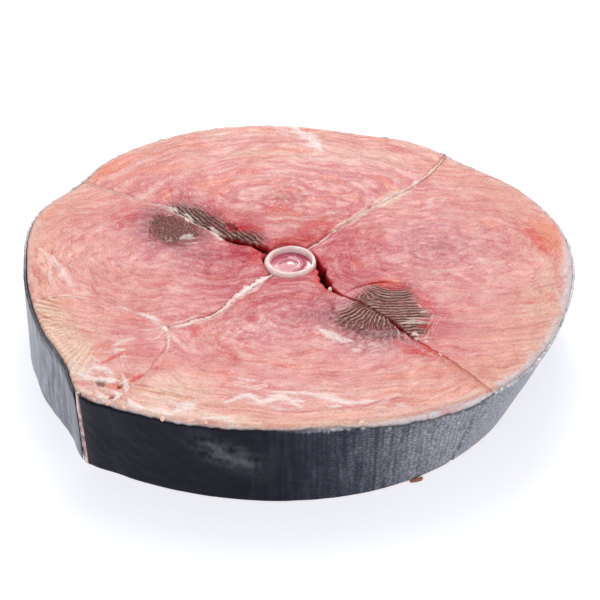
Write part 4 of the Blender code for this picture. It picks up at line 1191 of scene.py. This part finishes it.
class STEAK_OT_fin_root(bpy.types.Operator):
    """Models the wedge of muscle and fin rays at the root of the back fin"""

    bl_idname = "steak.fin_root"
    bl_label = "Fin root"

    def execute(self, context):
        sizes = context.scene.steak_sizes
        material = flesh_material("raw_fin_muscle", colours_of(context.scene), sizes)
        seams, fork = make_seams()
        u, v = eased(FIN_GRID[0]), eased(FIN_GRID[1], 0.05)
        sides = (seams["back_left"], seams["back_right"])

        def shape(depth):
            return sector(*sides, depth, u, v, fork + FIN_TIP, LAP)[0]

        patch = sector(*sides, 0.0, u, v, fork + FIN_TIP, LAP)
        plan = patch[0]
        rim = np.minimum.reduce(edge_distances(plan)[:3])
        top = top_of(patch, sides, u, v, sizes, 0.1, "fin", "back_left") + lapped(rim)
        top -= 0.30 * self.ribs(plan[..., 0], plan[..., 1])[1]
        carve("fin_root", shape, top, 6, material, "fin_muscle", "fin_base", "fin", "back_left", self.tint)
        return {"FINISHED"}

    @staticmethod
    def ribs(x, y):
        """Where the fin's rays show, which is near the skin on the left, and the grooves between them, a
        square-edged wave across a fan."""
        angle = np.arctan2(y - RAY_FOCUS[1], x - RAY_FOCUS[0])
        rim = ring_value(TOP_RADIUS, np.arctan2(y, x)) - np.hypot(x, y)
        where = step(11, 5, rim) * step(-3.0, -8.0, x)
        return where, where * step(-0.2, 0.6, np.sin(angle * RAYS + 1.2 * patches(x, y, 3, 81, 40)))

    def tint(self, points):
        """The flesh's colour with pale rays between reddish grooves."""
        tint = flesh_tint(points, "fin", "back_left")
        where, groove = self.ribs(points[..., 0], points[..., 1])
        where = where * step(3.0, 1.0, THICKNESS - points[..., 2])
        colours = mix(tint[..., :3], "rib", 0.55 * where * (1 - groove))
        return joined(mix(colours, "peach", 0.45 * groove), tint[..., 3])


class STEAK_OT_dark_muscle(bpy.types.Operator):
    """Models the four lenses of dark muscle beside the seams, with their fine ridges"""

    bl_idname = "steak.dark_muscle"
    bl_label = "Dark muscle"

    def execute(self, context):
        material = flesh_material("raw_dark_muscle", colours_of(context.scene), context.scene.steak_sizes)
        seams, _ = make_seams()
        for region, (points, side, lens) in LENSES.items():
            seam = seams["right" if points is RIGHT_SEAM else "left"]
            width = lens_width(lens, seam.along)
            stations = np.linspace(lens[0] - LAP, lens[1] + LAP, LENS_GRID[0])
            shares = np.linspace(0, 1, LENS_GRID[1])

            def shape(depth, seam=seam, side=side, width=width, stations=stations, shares=shares):
                near = seam.edge(side, depth)
                lines = [seam.offset(side, near + share * (width + LAP)) for share in shares]
                rows = [at_distance(line, seam.along, stations) for line in lines]
                return taper(np.stack(rows, axis=1), depth)

            plan = shape(0.0)
            x, y = plan[..., 0], plan[..., 1]
            seam_edge = np.linalg.norm(plan - plan[:, :1], axis=-1)
            ends = np.minimum(stations - stations[0], stations[-1] - stations)[:, None]
            rim = np.minimum(np.linalg.norm(plan - plan[:, -1:], axis=-1), ends)
            top = cut_height(x, y) + proud(x, y, region) - 0.35 * rounding(seam_edge, 0.5) + lapped(rim)
            top = top + dark_relief(x, y, region)
            for hue, cover in line_covers(x, y, region):
                top = top + STANDS.get(hue, 0.0) * cover
            node = "dark_" + region
            carve("muscle_" + node, shape, top, 7, material, "dark_muscle", node, region, region)
        return {"FINISHED"}


class STEAK_OT_backbone(bpy.types.Operator):
    """Models the cut vertebra: a bone ring with a rounded lip and the pulp inside it"""

    bl_idname = "steak.backbone"
    bl_label = "Backbone"

    def execute(self, context):
        angle = np.linspace(0, 2 * np.pi, RING_GRID[0], endpoint=False)
        lift = 0.25 * noise(angle / (2 * np.pi) * 9, angle * 0 + 2.5, 91, wrap=9)
        wide = 1 + 0.20 * np.cos(angle - np.radians(250))
        wide += 0.10 * noise(angle / (2 * np.pi) * 14, angle * 0, 92, wrap=14)
        # Section of the ring: share of the wall from its inner face, and height, once round
        top = BONE_TOP - 0.35
        section = np.array([(0.0, 0.0), (0.0, 8.0), (0.0, 16.0), (0.02, top - 1.2), (0.08, top - 0.45),
                            (0.28, top - 0.05), (0.50, top + 0.12), (0.72, top), (0.90, top - 0.35),
                            (1.0, top - 1.0), (1.0, 18.0), (0.96, 12.0), (1.0, 5.0), (1.0, 0.0)])
        along = lengths(section)
        share, height = at_distance(section, along, np.linspace(0, along[-1], RING_GRID[1])).T
        outer = BONE_RADIUS + 0.10 * noise(angle / (2 * np.pi) * 11, angle * 0, 93, wrap=11)
        inner = outer - BONE_WALL * wide
        radius = inner[:, None] + (outer - inner)[:, None] * share[None]
        raised = height[None] + lift[:, None] * step(20, 24, height)[None]
        way = np.stack([np.cos(angle), np.sin(angle)], axis=-1)[:, None]
        sections = joined(radius[..., None] * way, raised)
        material = tissue_material("fresh_bone", colours_of(context.scene), 0.48, 0.18)
        dress(tube("vertebra_ring", sections, {"tint": self.bone_tint}), material, "bone", "backbone_ring")

        a = np.linspace(-1, 1, PULP_GRID[0])
        u, v = np.meshgrid(a, a, indexing="ij")
        disc = np.stack([u * np.sqrt(1 - v**2 / 2), v * np.sqrt(1 - u**2 / 2)], axis=-1)
        levels = []
        for share in np.linspace(0, 1, PULP_GRID[1]):
            plan = disc * (BONE_RADIUS - BONE_WALL * 0.9)
            far = np.linalg.norm(plan, axis=-1)
            around = np.arctan2(plan[..., 1], plan[..., 0])
            fold = 0.30 * hill(far - 3.4, 0.5) * step(-0.3, 0.5, np.sin(around + 0.6))
            dome = THICKNESS - 0.45 + 0.55 * np.cos(far / 5.6 * np.pi) * 0.5 + fold
            levels.append(joined(plan, dome * (1 - share) + 0.1 * share))
        dress(slab("vertebra_pulp", levels, {"tint": self.pulp_tint}), self.jelly(), "pulp", "backbone_pulp")
        return {"FINISHED"}

    @staticmethod
    def jelly():
        """The pulp's wet, clear jelly, with paler clots in it."""
        material, tree, shader = new_material(
            "spinal_pulp", IOR=1.40, Roughness=0.16, Subsurface_Weight=0.35, Subsurface_Scale=0.002,
            Coat_Weight=0.35, Coat_Roughness=0.08,
        )
        tint = add(tree, "ShaderNodeAttribute", attribute_name="tint").outputs["Color"]
        place = add(tree, "ShaderNodeTexCoord").outputs["Object"]
        clots = add(tree, "ShaderNodeTexNoise", {"Vector": place, "Scale": 1 / (2.5 * MM), "Detail": 3.0})
        veil = add(tree, "ShaderNodeMapRange", {"Value": clots.outputs[0], "From Min": 0.3, "From Max": 0.7,
                                                "To Min": 0.85, "To Max": 1.15})
        base = add(tree, "ShaderNodeVectorMath", {0: tint, "Scale": veil.outputs[0]}, operation="SCALE")
        tree.links.new(base.outputs[0], shader.inputs["Base Color"])
        bump = add(tree, "ShaderNodeBump",
                   {"Height": clots.outputs[0], "Strength": 0.4, "Distance": 0.2 * MM})
        tree.links.new(bump.outputs[0], shader.inputs["Normal"])
        return material

    @staticmethod
    def bone_tint(points):
        """Pinkish white bone, redder down its wall and on its inner lip."""
        x, y, z = points[..., 0], points[..., 1], points[..., 2]
        colours = flat("bone", x)
        blotch = noise(x / 1.6 + 10, y / 1.6 + z / 1.6 + 10, 94)
        colours = mix(colours, "pale", 0.5 * step(0.0, 1.0, blotch))
        colours = mix(colours, "lilac", 0.45 * step(BONE_RADIUS - 1.1, BONE_RADIUS - 1.9, np.hypot(x, y)))
        return mix(colours, "lilac", 0.25 * step(BONE_TOP - 1.2, BONE_TOP - 4.0, z) * step(1.0, 3.0, z))

    @staticmethod
    def pulp_tint(points):
        """Pink jelly with a darker crescent towards its far side and a pale fold across it."""
        x, y = points[..., 0], points[..., 1]
        along, across = turned(x, y)
        colours = flat("marrow", x)
        crescent = step(0.8, 2.6, across) * step(-3.6, -0.5, along)
        colours = mix(colours, "magenta", 0.7 * crescent)
        fold = hill(np.hypot(along + 0.5, across + 1.0) - 3.2, 0.45)
        colours = mix(colours, "white", 0.30 * fold)
        return mix(colours, "lilac", 0.4 * step(0.5, 1.0, patches(x, y, 1.2, 95) + 0.4))


# Each septum's seam, thickness, start, end before the fork, and where its torn upper edge laps over the
# flesh: how many times its own width more, where, and reach
SEPTA = {
    "septum_belly": ("belly", BELLY_SEPTUM, 0.0, None, (1.6, 48.0, 11.0)),
    "septum_back": ("back_left", BACK_SEPTUM, 0.0, -FORK_SHORT, (1.5, 8.0, 6.0)),
    "septum_fin_left": ("back_left", FIN_SEPTUM, FORK_CLEAR, None, (0.3, 60.0, 10.0)),
    "septum_fin_right": ("back_right", FIN_SEPTUM, FORK_CLEAR, None, (0.3, 60.0, 10.0)),
    "septum_left": ("left", LEFT_SEPTUM, LEFT_SEPTUM_FROM, None, (0.0, 30.0, 5.0)),
}


class STEAK_OT_septa(bpy.types.Operator):
    """Models the white septa that stand in the seams, with their frayed upper edges"""

    bl_idname = "steak.septa"
    bl_label = "Septa"

    def execute(self, context):
        material = tissue_material("white_septum", colours_of(context.scene))
        seams, fork = make_seams()
        for k, (node, (seam_name, thickness, start, end, (more, middle, reach))) in enumerate(SEPTA.items()):
            seam = seams[seam_name]
            from_fork = "fin" in node
            start = start + fork if from_fork else start
            first, last = clip_range(seam.line, BONE_RADIUS + 0.4, SKIN + 0.2)
            first = max(first, int(np.argmax(seam.along >= start)))
            if end is not None:
                last = int(np.argmax(seam.along > fork + end))
            stations = np.linspace(seam.along[first], seam.along[last], SEPTUM_POINTS)
            line = at_distance(seam.line, seam.along, stations)
            normals = at_distance(seam.normals, seam.along, stations)
            shares = np.concatenate([np.linspace(0, 0.04, 9), np.linspace(0.06, 1, 14)])
            level = stations * 0
            fray = 0.5 * noise(stations / 2.4, level, 100 + k) + 0.5 * noise(stations / 0.7, level, 110 + k)
            ends = step(0, 3, stations - stations[0]) * step(0, 4, stations[-1] - stations)
            half = thickness / 2 * (0.95 + 0.6 * fray) * (0.35 + 0.65 * ends)
            lap = more * hill(stations - middle, reach) * (1 + 0.8 * fray)
            faces = []
            rise = -0.5 if from_fork else 0.10 + 0.18 * fray + 0.25 * np.minimum(lap, 1)
            crown = cut_height(line[:, 0], line[:, 1]) + rise
            for side in (-1, 0, 1):
                rows = []
                for share in shares:
                    crest = step(0.0, 0.018, share) ** 0.5
                    flare = 1 + (0.25 + lap) * hill(share, 0.012)
                    plan = line + normals * (side * half * crest * flare)[:, None]
                    z = crown * (1 - share) + 0.5 * share
                    rows.append(joined(taper(plan, share * THICKNESS), z))
                faces.append(np.stack(rows, axis=1))
            obj = slab("white_" + node, faces, {"tint": self.tint})
            dress(obj, material, "septum", node)
        return {"FINISHED"}

    @staticmethod
    def tint(points):
        """Nearly white at the upper edge, with pink blood between its threads and deeper down."""
        x, y, z = points[..., 0], points[..., 1], points[..., 2]
        threads = patches(x, y, 1.5, 96, 44) + 0.5 * patches(x, y, 0.6, 97, 44)
        colours = flat("sinew", x)
        colours = mix(colours, "pale", 0.75 * step(0.1, 1.0, threads))
        colours = mix(colours, "cream", 0.40 * step(20, 60, np.hypot(x, y)))
        colours = mix(colours, "deep", 0.45 * step(-0.2, 0.8, threads) * step(5, 15, y))
        return mix(colours, "deep", 0.6 * step(THICKNESS - 1.0, THICKNESS - 4.0, z) * step(1.0, 3.0, z))


# Where each half of the skin starts and ends, in degrees
HIDES = {"skin_right": (270.9, 454.5), "skin_left": (94.1, 269.2)}


class STEAK_OT_skin(bpy.types.Operator):
    """Models the two halves of the skin, with ragged upper edges, creases and scales"""

    bl_idname = "steak.skin"
    bl_label = "Skin"

    def execute(self, context):
        material = skin_material("fish_skin")
        for node, (start, end) in HIDES.items():
            angle = np.radians(np.linspace(start, end, SKIN_GRID[0]))
            arc = lengths(outline(angle))
            ragged = 0.45 * noise(arc / 1.4, arc * 0, 121) + 0.35 * noise(arc / 4.5, arc * 0, 122)
            dip = self.strip(np.degrees(angle))
            top = THICKNESS - 0.75 + ragged * 0.6 - dip
            thin = np.minimum(step(0, 1.5, arc - arc[0]), step(0, 1.5, arc[-1] - arc)) * 0.75 + 0.25
            levels = []
            for side in (0.0, 0.12, 0.5, 0.88, 1.0):
                rows = []
                for share in np.linspace(0, 1, SKIN_GRID[1]):
                    lip = 0.7 * (0.5 - np.sqrt(np.maximum(0.25 - (side - 0.5) ** 2, 0)))
                    z = (top - lip) * (1 - share) + (0.8 + lip) * share
                    swell = 0.25 * noise(arc / 9, arc * 0 + share * 3, 123)
                    swell += 0.12 * noise(arc / 2.5, arc * 0 + share * 10, 124)
                    crease = 0.5 * self.crease(np.degrees(angle), share)
                    inside = side * SKIN * thin + (0.18 - swell * 0.6 + crease) * (1 - side)
                    plan = taper(outline(angle, inside), THICKNESS - z)
                    rows.append(joined(plan, z))
                levels.append(np.stack(rows, axis=1))
            obj = slab("hide_" + node[5:], levels, {"tint": self.tint, "grain": self.scales})
            dress(obj, material, "skin", node)
        return {"FINISHED"}

    @staticmethod
    def strip(degrees):
        """How far the skin's edge has slipped, in millimetres: it bares a strip of fat below the rim."""
        turn = degrees % 360
        return (1.5 + 0.8 * step(333, 349, turn)) * step(322, 332, turn) * step(357, 352, turn)

    @staticmethod
    def crease(degrees, share):
        """A fold down the skin where its dark side meets the silver belly."""
        turn = degrees % 360
        away = (turn - 352.5 + 3.0 * share**1.5 + 180) % 360 - 180
        return hill(away, 0.45)

    @staticmethod
    def scales(points):
        """Place counted in scales: 1.4 mm round the fish, in columns, and 0.9 mm up the slice."""
        angle = np.arctan2(points[..., 1], points[..., 0])
        return np.stack([angle * 74.0 / 1.4, points[..., 2] / 0.9, angle * 0], axis=-1)

    def tint(self, points):
        """Blue-black over the back, through rows of silver dots, to a silver belly; the cut edge is pale. The
        left half is lightened with silver as a painted sheen.
        """
        x, y, z = points[..., 0], points[..., 1], points[..., 2]
        turn = np.degrees(np.arctan2(y, x)) % 360
        from_back = np.abs((turn - 270 + 180) % 360 - 180)
        right = (turn > 270) | (turn < 90)
        streaks = noise(turn * 2.2, z / 9 + 5, 125) + 0.6 * noise(turn * 0.5, z / 5 + 5, 126)
        colours = flat("skin_black", x)
        blue = np.where(right, step(34, 60, from_back + 4 * streaks), step(-3, 2, from_back))
        colours = mix(colours, "skin_blue", 0.6 * blue)
        # Silver belly on the right; over the left half the silver is a painted sheen on the blue-grey
        silver = np.where(right, step(52, 80, from_back + 5 * streaks),
                          0.85 * step(-3, 3, from_back + 2 * streaks))
        colours = mix(colours, "silver", np.where(right, 0.6, 0.8) * silver)
        # The left half is darker and blotched beside the ridge, and dark along its upper edge
        beside = np.where(right, 0, step(55, 5, from_back)) * np.clip(0.45 + 0.5 * streaks, 0, 1)
        colours = mix(colours, "skin_blue", 0.8 * beside)
        hem = step(THICKNESS - 4.5, THICKNESS - 1.0, z + 1.2 * streaks) * step(70, 40, from_back)
        colours = mix(colours, "skin_black", np.where(right, 0, 0.65 * hem))
        around = from_back + 6 * streaks
        colours = mix(colours, "belly", 0.8 * np.where(right, step(118, 170, around), step(95, 140, around)))
        # Painted shade darkens the fold down the skin
        crease = self.crease(turn, (THICKNESS - z) / THICKNESS)
        colours = mix(colours, "umber", 0.3 * crease)
        patchy = 0.5 + 0.5 * noise(turn / 2.6, z / 1.8, 132) + 0.3 * noise(turn / 0.7, z / 0.9, 133)
        scuff = np.exp(-(((turn - 300.5) / 6) ** 2) - ((z - 15.5 + 0.4 * (turn - 300.5)) / 3.5) ** 2)
        colours = mix(colours, "silver", 0.30 * scuff * patchy)
        lip = step(THICKNESS - 1.6, THICKNESS - 0.9, z + 0.5 * streaks)
        colours = mix(colours, "belly", 0.9 * lip * step(40, 60, from_back))
        # Fourth, how plainly the scales show: along the side, and hardly on back and belly
        shown = 0.2 + np.where(right, 0.8, 0.3) * step(36, 60, from_back) * step(110, 85, from_back)
        return joined(colours, shown)


# Bits of membrane and fat that lie on the cut face, and red nubs by the backbone: middle, half length, half
# width, height, turn
MEMBRANE = [
    (-24.3, -4.6, 2.4, 0.6, 0.5, 350), (16.6, -2.2, 0.9, 0.5, 0.8, 120), (-2.2, 9.4, 2.0, 0.5, 0.6, 95),
    (-36.0, -4.6, 1.5, 0.5, 0.4, 340), (55.5, -4.0, 0.8, 0.4, 0.4, 170), (47.2, -3.2, 0.7, 0.4, 0.5, 20),
    (49.8, -2.4, 0.8, 0.4, 0.5, 20), (-2.7, -44.2, 1.9, 1.1, 0.25, 150),
]
NUBS = [(-7.8, -5.4, 1.7, 0.9, 1.0, 130), (-8.6, -3.2, 1.5, 0.8, 1.3, 150), (-8.3, -1.6, 1.2, 0.6, 0.6, 40)]
NUB_ROOT = 1.2              # how much deeper a nub's foot lies

# Frayed bits along the rim: from and to in degrees, and how many
RIM_BITS = [(273, 290, 15), (291, 316, 5), (318, 336, 4)]

# Where the skin's halves part along the back, the half width of the strip between, and where juice drips
RIDGE_TURN, RIDGE_HALF, DRIP_TURN = 270.1, 1.1, 340.0


def pebble(x, y, z, long, wide, tall, turn, seed):
    """Levels of a soft lump: a square grid bent to a disc, domed above by sqrt(1 - r^2) and shallow below,
    with noise in its outline and height."""
    a = np.linspace(-1, 1, BIT_POINTS)
    u, v = np.meshgrid(a, a, indexing="ij")
    p, q = u * np.sqrt(1 - v**2 / 2), v * np.sqrt(1 - u**2 / 2)
    r = np.minimum(np.hypot(p, q), 1)
    edge = 1 + 0.22 * noise(np.arctan2(q, p) / (2 * np.pi) % 1 * 7, p * 0 + 1.5, seed, wrap=7)
    c, s = np.cos(np.radians(turn)), np.sin(np.radians(turn))
    px, py = p * long * edge, q * wide * edge
    plan = np.stack([x + px * c - py * s, y + px * s + py * c], axis=-1)
    dome = np.sqrt(np.maximum(1 - r**2, 0))
    rough = 0.18 * tall * noise(p * 3 + 9, q * 3 + 9, seed + 1)
    upper = z + dome * tall + rough * dome
    return [joined(plan, upper), joined(plan, z - 0.5 * dome * tall)]


def join_slabs(name, parts, attributes):
    """One mesh from several pebbles, each closed on itself."""
    points = np.array(parts).reshape(-1, 3)
    rim, face = grid_of(BIT_POINTS, BIT_POINTS)
    size = BIT_POINTS**2
    quads = np.concatenate([face, (face + size)[:, ::-1], wall(rim, rim + size)])
    quads = quads + 2 * size * np.arange(len(parts))[:, None, None]
    return put_mesh(name, points, quads.reshape(-1, 4), attributes)


class STEAK_OT_scraps(bpy.types.Operator):
    """Models the small bits: membrane, red nubs by the bone, fat at the rim, the fin's ridge and a drip"""

    bl_idname = "steak.scraps"
    bl_label = "Scraps"

    def execute(self, context):
        colours = colours_of(context.scene)
        white = tissue_material("loose_membrane", colours)
        bits = self.scatter(MEMBRANE, THICKNESS - 0.1, 0.0, 130)
        dress(join_slabs("membrane_bits", bits, {"tint": self.plain("sinew", "pale")}), white, "septum")
        red = flesh_material("wet_red_scraps", colours, context.scene.steak_sizes)
        nubs = self.scatter(NUBS, THICKNESS - 1.0 - NUB_ROOT, NUB_ROOT, 160)
        attributes = {"tint": self.plain("orange", "flush"), "grain": lambda p: fibre_vector(p, "back_left")}
        dress(join_slabs("red_nubs", nubs, attributes), red, "flesh")
        dress(join_slabs("rim_bits", self.rim_bits(), {"tint": self.plain("peach", "fat")}), white, "flesh")
        self.ridge(white)
        self.drip()
        return {"FINISHED"}

    @staticmethod
    def scatter(places, height, taller, seed):
        """A pebble at each place, all from one height and so much taller than listed."""
        bits = []
        for k, (x, y, long, wide, tall, turn) in enumerate(places):
            bits.append(pebble(x, y, height, long, wide, tall + taller, turn, seed + 3 * k))
        return bits

    @staticmethod
    def rim_bits():
        """Frayed bits of fat and muscle where the knife left the skin, thick by the fin and to its right."""
        chance = np.random.default_rng(5)
        bits = []
        for k, (start, end, count) in enumerate(RIM_BITS):
            for turn, inside, size in zip(chance.uniform(start, end, count), chance.uniform(0.9, 3.4, count),
                                          chance.uniform(0.5, 1.1, count)):
                x, y = outline(np.radians(turn), inside)
                z = cut_height(x, y) - 0.12 - 0.6 * max(0.0, 1.0 - inside)
                twist = turn + chance.uniform(-80, 80)
                bits.append(pebble(x, y, z, 1.5 * size, 0.7 * size, 0.18 * size, twist, 200 + 3 * k))
        return bits

    @staticmethod
    def plain(first, second):
        """Tint of one hue blotched with another."""
        def tint(points):
            x, y = points[..., 0], points[..., 1]
            blotch = noise(x / 1.2 + 12, y / 1.2 + points[..., 2], 98)
            return mix(flat(first, x), second, 0.8 * step(-0.1, 0.9, blotch))

        return tint

    @staticmethod
    def ridge(material):
        """The pale edge of the fin's root that shows between the two skins along the back's ridge."""
        heights = np.linspace(0, 1, RIDGE_GRID[0])
        across = np.linspace(-1, 1, RIDGE_GRID[1])
        faces = []
        for side in (0.0, 0.6, 1.0):
            rows = []
            for share in heights:
                z = (THICKNESS - 0.5) * (1 - share) + 0.6 * share
                half = RIDGE_HALF * (1 + 0.25 * noise(share * 12, 0.5, 127))
                angle = np.radians(RIDGE_TURN) + across * half / TOP_RADIUS[270]
                bulge = 0.25 - 0.35 * across**2 + 0.15 * noise(across * 0 + share * 16, across * 2 + 4, 128)
                plan = taper(outline(angle, 0.45 - bulge * (1 - side) + 1.0 * side), THICKNESS - z)
                rows.append(joined(plan, np.full(len(across), z)))
            faces.append(np.stack(rows, axis=1))

        def tint(points):
            x, z = points[..., 0], points[..., 2]
            colours = flat("belly", x)
            edge = np.abs(x + noise(z / 3, z * 0, 129) * 0.3 - 0.13)
            colours = mix(colours, "maroon", 0.85 * step(0.25, 0.8, edge))
            return mix(colours, "umber", 0.9 * step(-0.5, 0.5, noise(z / 1.5, x, 131)))

        dress(slab("fin_ridge_strip", faces, {"tint": tint}), material, "fin_muscle")

    @staticmethod
    def drip():
        """A red-brown smear of juice at the foot of the skin."""
        material, tree, shader = new_material("dried_juice", IOR=1.36, Roughness=0.25, Coat_Weight=0.5)
        place = add(tree, "ShaderNodeTexCoord").outputs["Object"]
        clots = add(tree, "ShaderNodeTexNoise", {"Vector": place, "Scale": 1 / (0.8 * MM), "Detail": 3.0})
        base = add(tree, "ShaderNodeMix",
                   {0: clots.outputs[0], 6: opaque(HUE["gore_and_shade"]), 7: opaque(HUE["tan"])},
                   data_type="RGBA")
        tree.links.new(base.outputs[2], shader.inputs["Base Color"])
        foot = taper(outline(np.radians([DRIP_TURN])), THICKNESS)[0]
        x, y = foot * (1 + 0.1 / np.linalg.norm(foot))
        bits = [pebble(x, y, 0.45, 1.5, 0.7, 0.7, 60, 171),
                pebble(x + 0.7, y + 1.1, 0.5, 0.9, 0.5, 0.8, 80, 175)]
        dress(join_slabs("juice_drip", bits, {}), material, "fin_muscle")


# The photograph's view, in millimetres: where the camera looks on the cut face, from how far, and its lens
LOOK_AT = (13.98, -11.03)
CAMERA_AZIMUTH, CAMERA_ELEVATION, CAMERA_DISTANCE = 43.0, 36.0, 394.74
LENS = 90.0

# Floor's half width in metres, its paper's colour and glow, the sky's colour and light, and each lamp's place
# in metres, size and power
FLOOR = 3.0
PAPER, GLOW, GLOW_LIGHT, SKY, SKY_LIGHT = "bcbcc0", "f8f9ff", 0.65, "fbfcff", 0.62
LAMPS = {"key": ((-0.40, 0.45, 0.75), 0.5, 3.8), "sparkle": ((-0.55, 0.60, 0.62), 0.15, 1.0),
         "fill": ((0.55, -0.65, 0.60), 0.8, 2.0)}


class STEAK_OT_stage(bpy.types.Operator):
    """Makes the white floor, the soft studio light and the camera of the photograph"""

    bl_idname = "steak.stage"
    bl_label = "Stage"

    def execute(self, context):
        scene = context.scene
        mesh = bpy.data.meshes.new("floor")
        corners = [(FLOOR * x, FLOOR * y, 0) for x, y in ((-1, -1), (1, -1), (1, 1), (-1, 1))]
        mesh.from_pydata(corners, [], [(0, 1, 2, 3)])
        floor = bpy.data.objects.new("floor", mesh)
        scene.collection.objects.link(floor)
        material, _, shader = new_material("white_paper", Roughness=0.7)
        shader.inputs["Base Color"].default_value = opaque(linear(PAPER))
        shader.inputs["Emission Color"].default_value = opaque(linear(GLOW))
        shader.inputs["Emission Strength"].default_value = GLOW_LIGHT
        floor.data.materials.append(material)

        world = bpy.data.worlds.new("studio")
        world.use_nodes = True
        sky = world.node_tree.nodes["Background"]
        sky.inputs["Color"].default_value = opaque(linear(SKY))
        sky.inputs["Strength"].default_value = SKY_LIGHT
        scene.world = world
        for name, (place, size, power) in LAMPS.items():
            self.lamp(scene, name, place, size, power)
        scene.view_settings.view_transform = "Standard"

        camera = bpy.data.objects.new("camera", bpy.data.cameras.new("camera"))
        camera.data.lens = LENS
        camera.data.sensor_width = 36.0
        camera.data.dof.use_dof = False
        turn, lift = np.radians(CAMERA_AZIMUTH), np.radians(CAMERA_ELEVATION)
        back = Vector((np.sin(turn) * np.cos(lift), -np.cos(turn) * np.cos(lift), np.sin(lift)))
        target = Vector(((AXIS[0] + LOOK_AT[0]) * MM, (AXIS[1] + LOOK_AT[1]) * MM, THICKNESS * MM))
        camera.location = target + back * CAMERA_DISTANCE * MM
        camera.rotation_euler = (-back).to_track_quat("-Z", "Y").to_euler()
        scene.collection.objects.link(camera)
        scene.camera = camera
        return {"FINISHED"}

    @staticmethod
    def lamp(scene, name, place, size, power):
        """A square soft box that faces the slice."""
        light = bpy.data.lights.new(name, "AREA")
        light.size = size
        light.energy = power
        obj = bpy.data.objects.new(name, light)
        obj.location = place
        obj.rotation_euler = (-Vector(place)).to_track_quat("-Z", "Y").to_euler()
        scene.collection.objects.link(obj)


OPERATORS = (STEAK_OT_stage, STEAK_OT_loins, STEAK_OT_fin_root, STEAK_OT_dark_muscle, STEAK_OT_backbone,
             STEAK_OT_septa, STEAK_OT_skin, STEAK_OT_scraps)


class STEAK_PT_panel(bpy.types.Panel):
    """Lists the steak's pieces and settings"""

    bl_label = "Bonito Steak"
    bl_idname = "STEAK_PT_panel"
    bl_space_type = "VIEW_3D"
    bl_region_type = "UI"
    bl_category = "Steak"

    def draw(self, context):
        for group in (context.scene.steak_sizes, context.scene.steak_colours):
            for key in group.__annotations__:
                self.layout.prop(group, key)
        for operator in OPERATORS:
            self.layout.operator(operator.bl_idname)


CLASSES = (SteakSizes, SteakColours, *OPERATORS, STEAK_PT_panel)


def register():
    """Registers the classes and hangs the settings on the scene."""
    for item in CLASSES:
        bpy.utils.register_class(item)
    bpy.types.Scene.steak_sizes = PointerProperty(type=SteakSizes)
    bpy.types.Scene.steak_colours = PointerProperty(type=SteakColours)


def unregister():
    """Takes the settings and the classes away again."""
    del bpy.types.Scene.steak_colours
    del bpy.types.Scene.steak_sizes
    for item in reversed(CLASSES):
        bpy.utils.unregister_class(item)


def main():
    register()
    bpy.ops.steak.stage()
    bpy.ops.steak.loins()
    bpy.ops.steak.fin_root()
    bpy.ops.steak.dark_muscle()
    bpy.ops.steak.backbone()
    bpy.ops.steak.septa()
    bpy.ops.steak.skin()
    bpy.ops.steak.scraps()


if __name__ == "__main__":
    main()
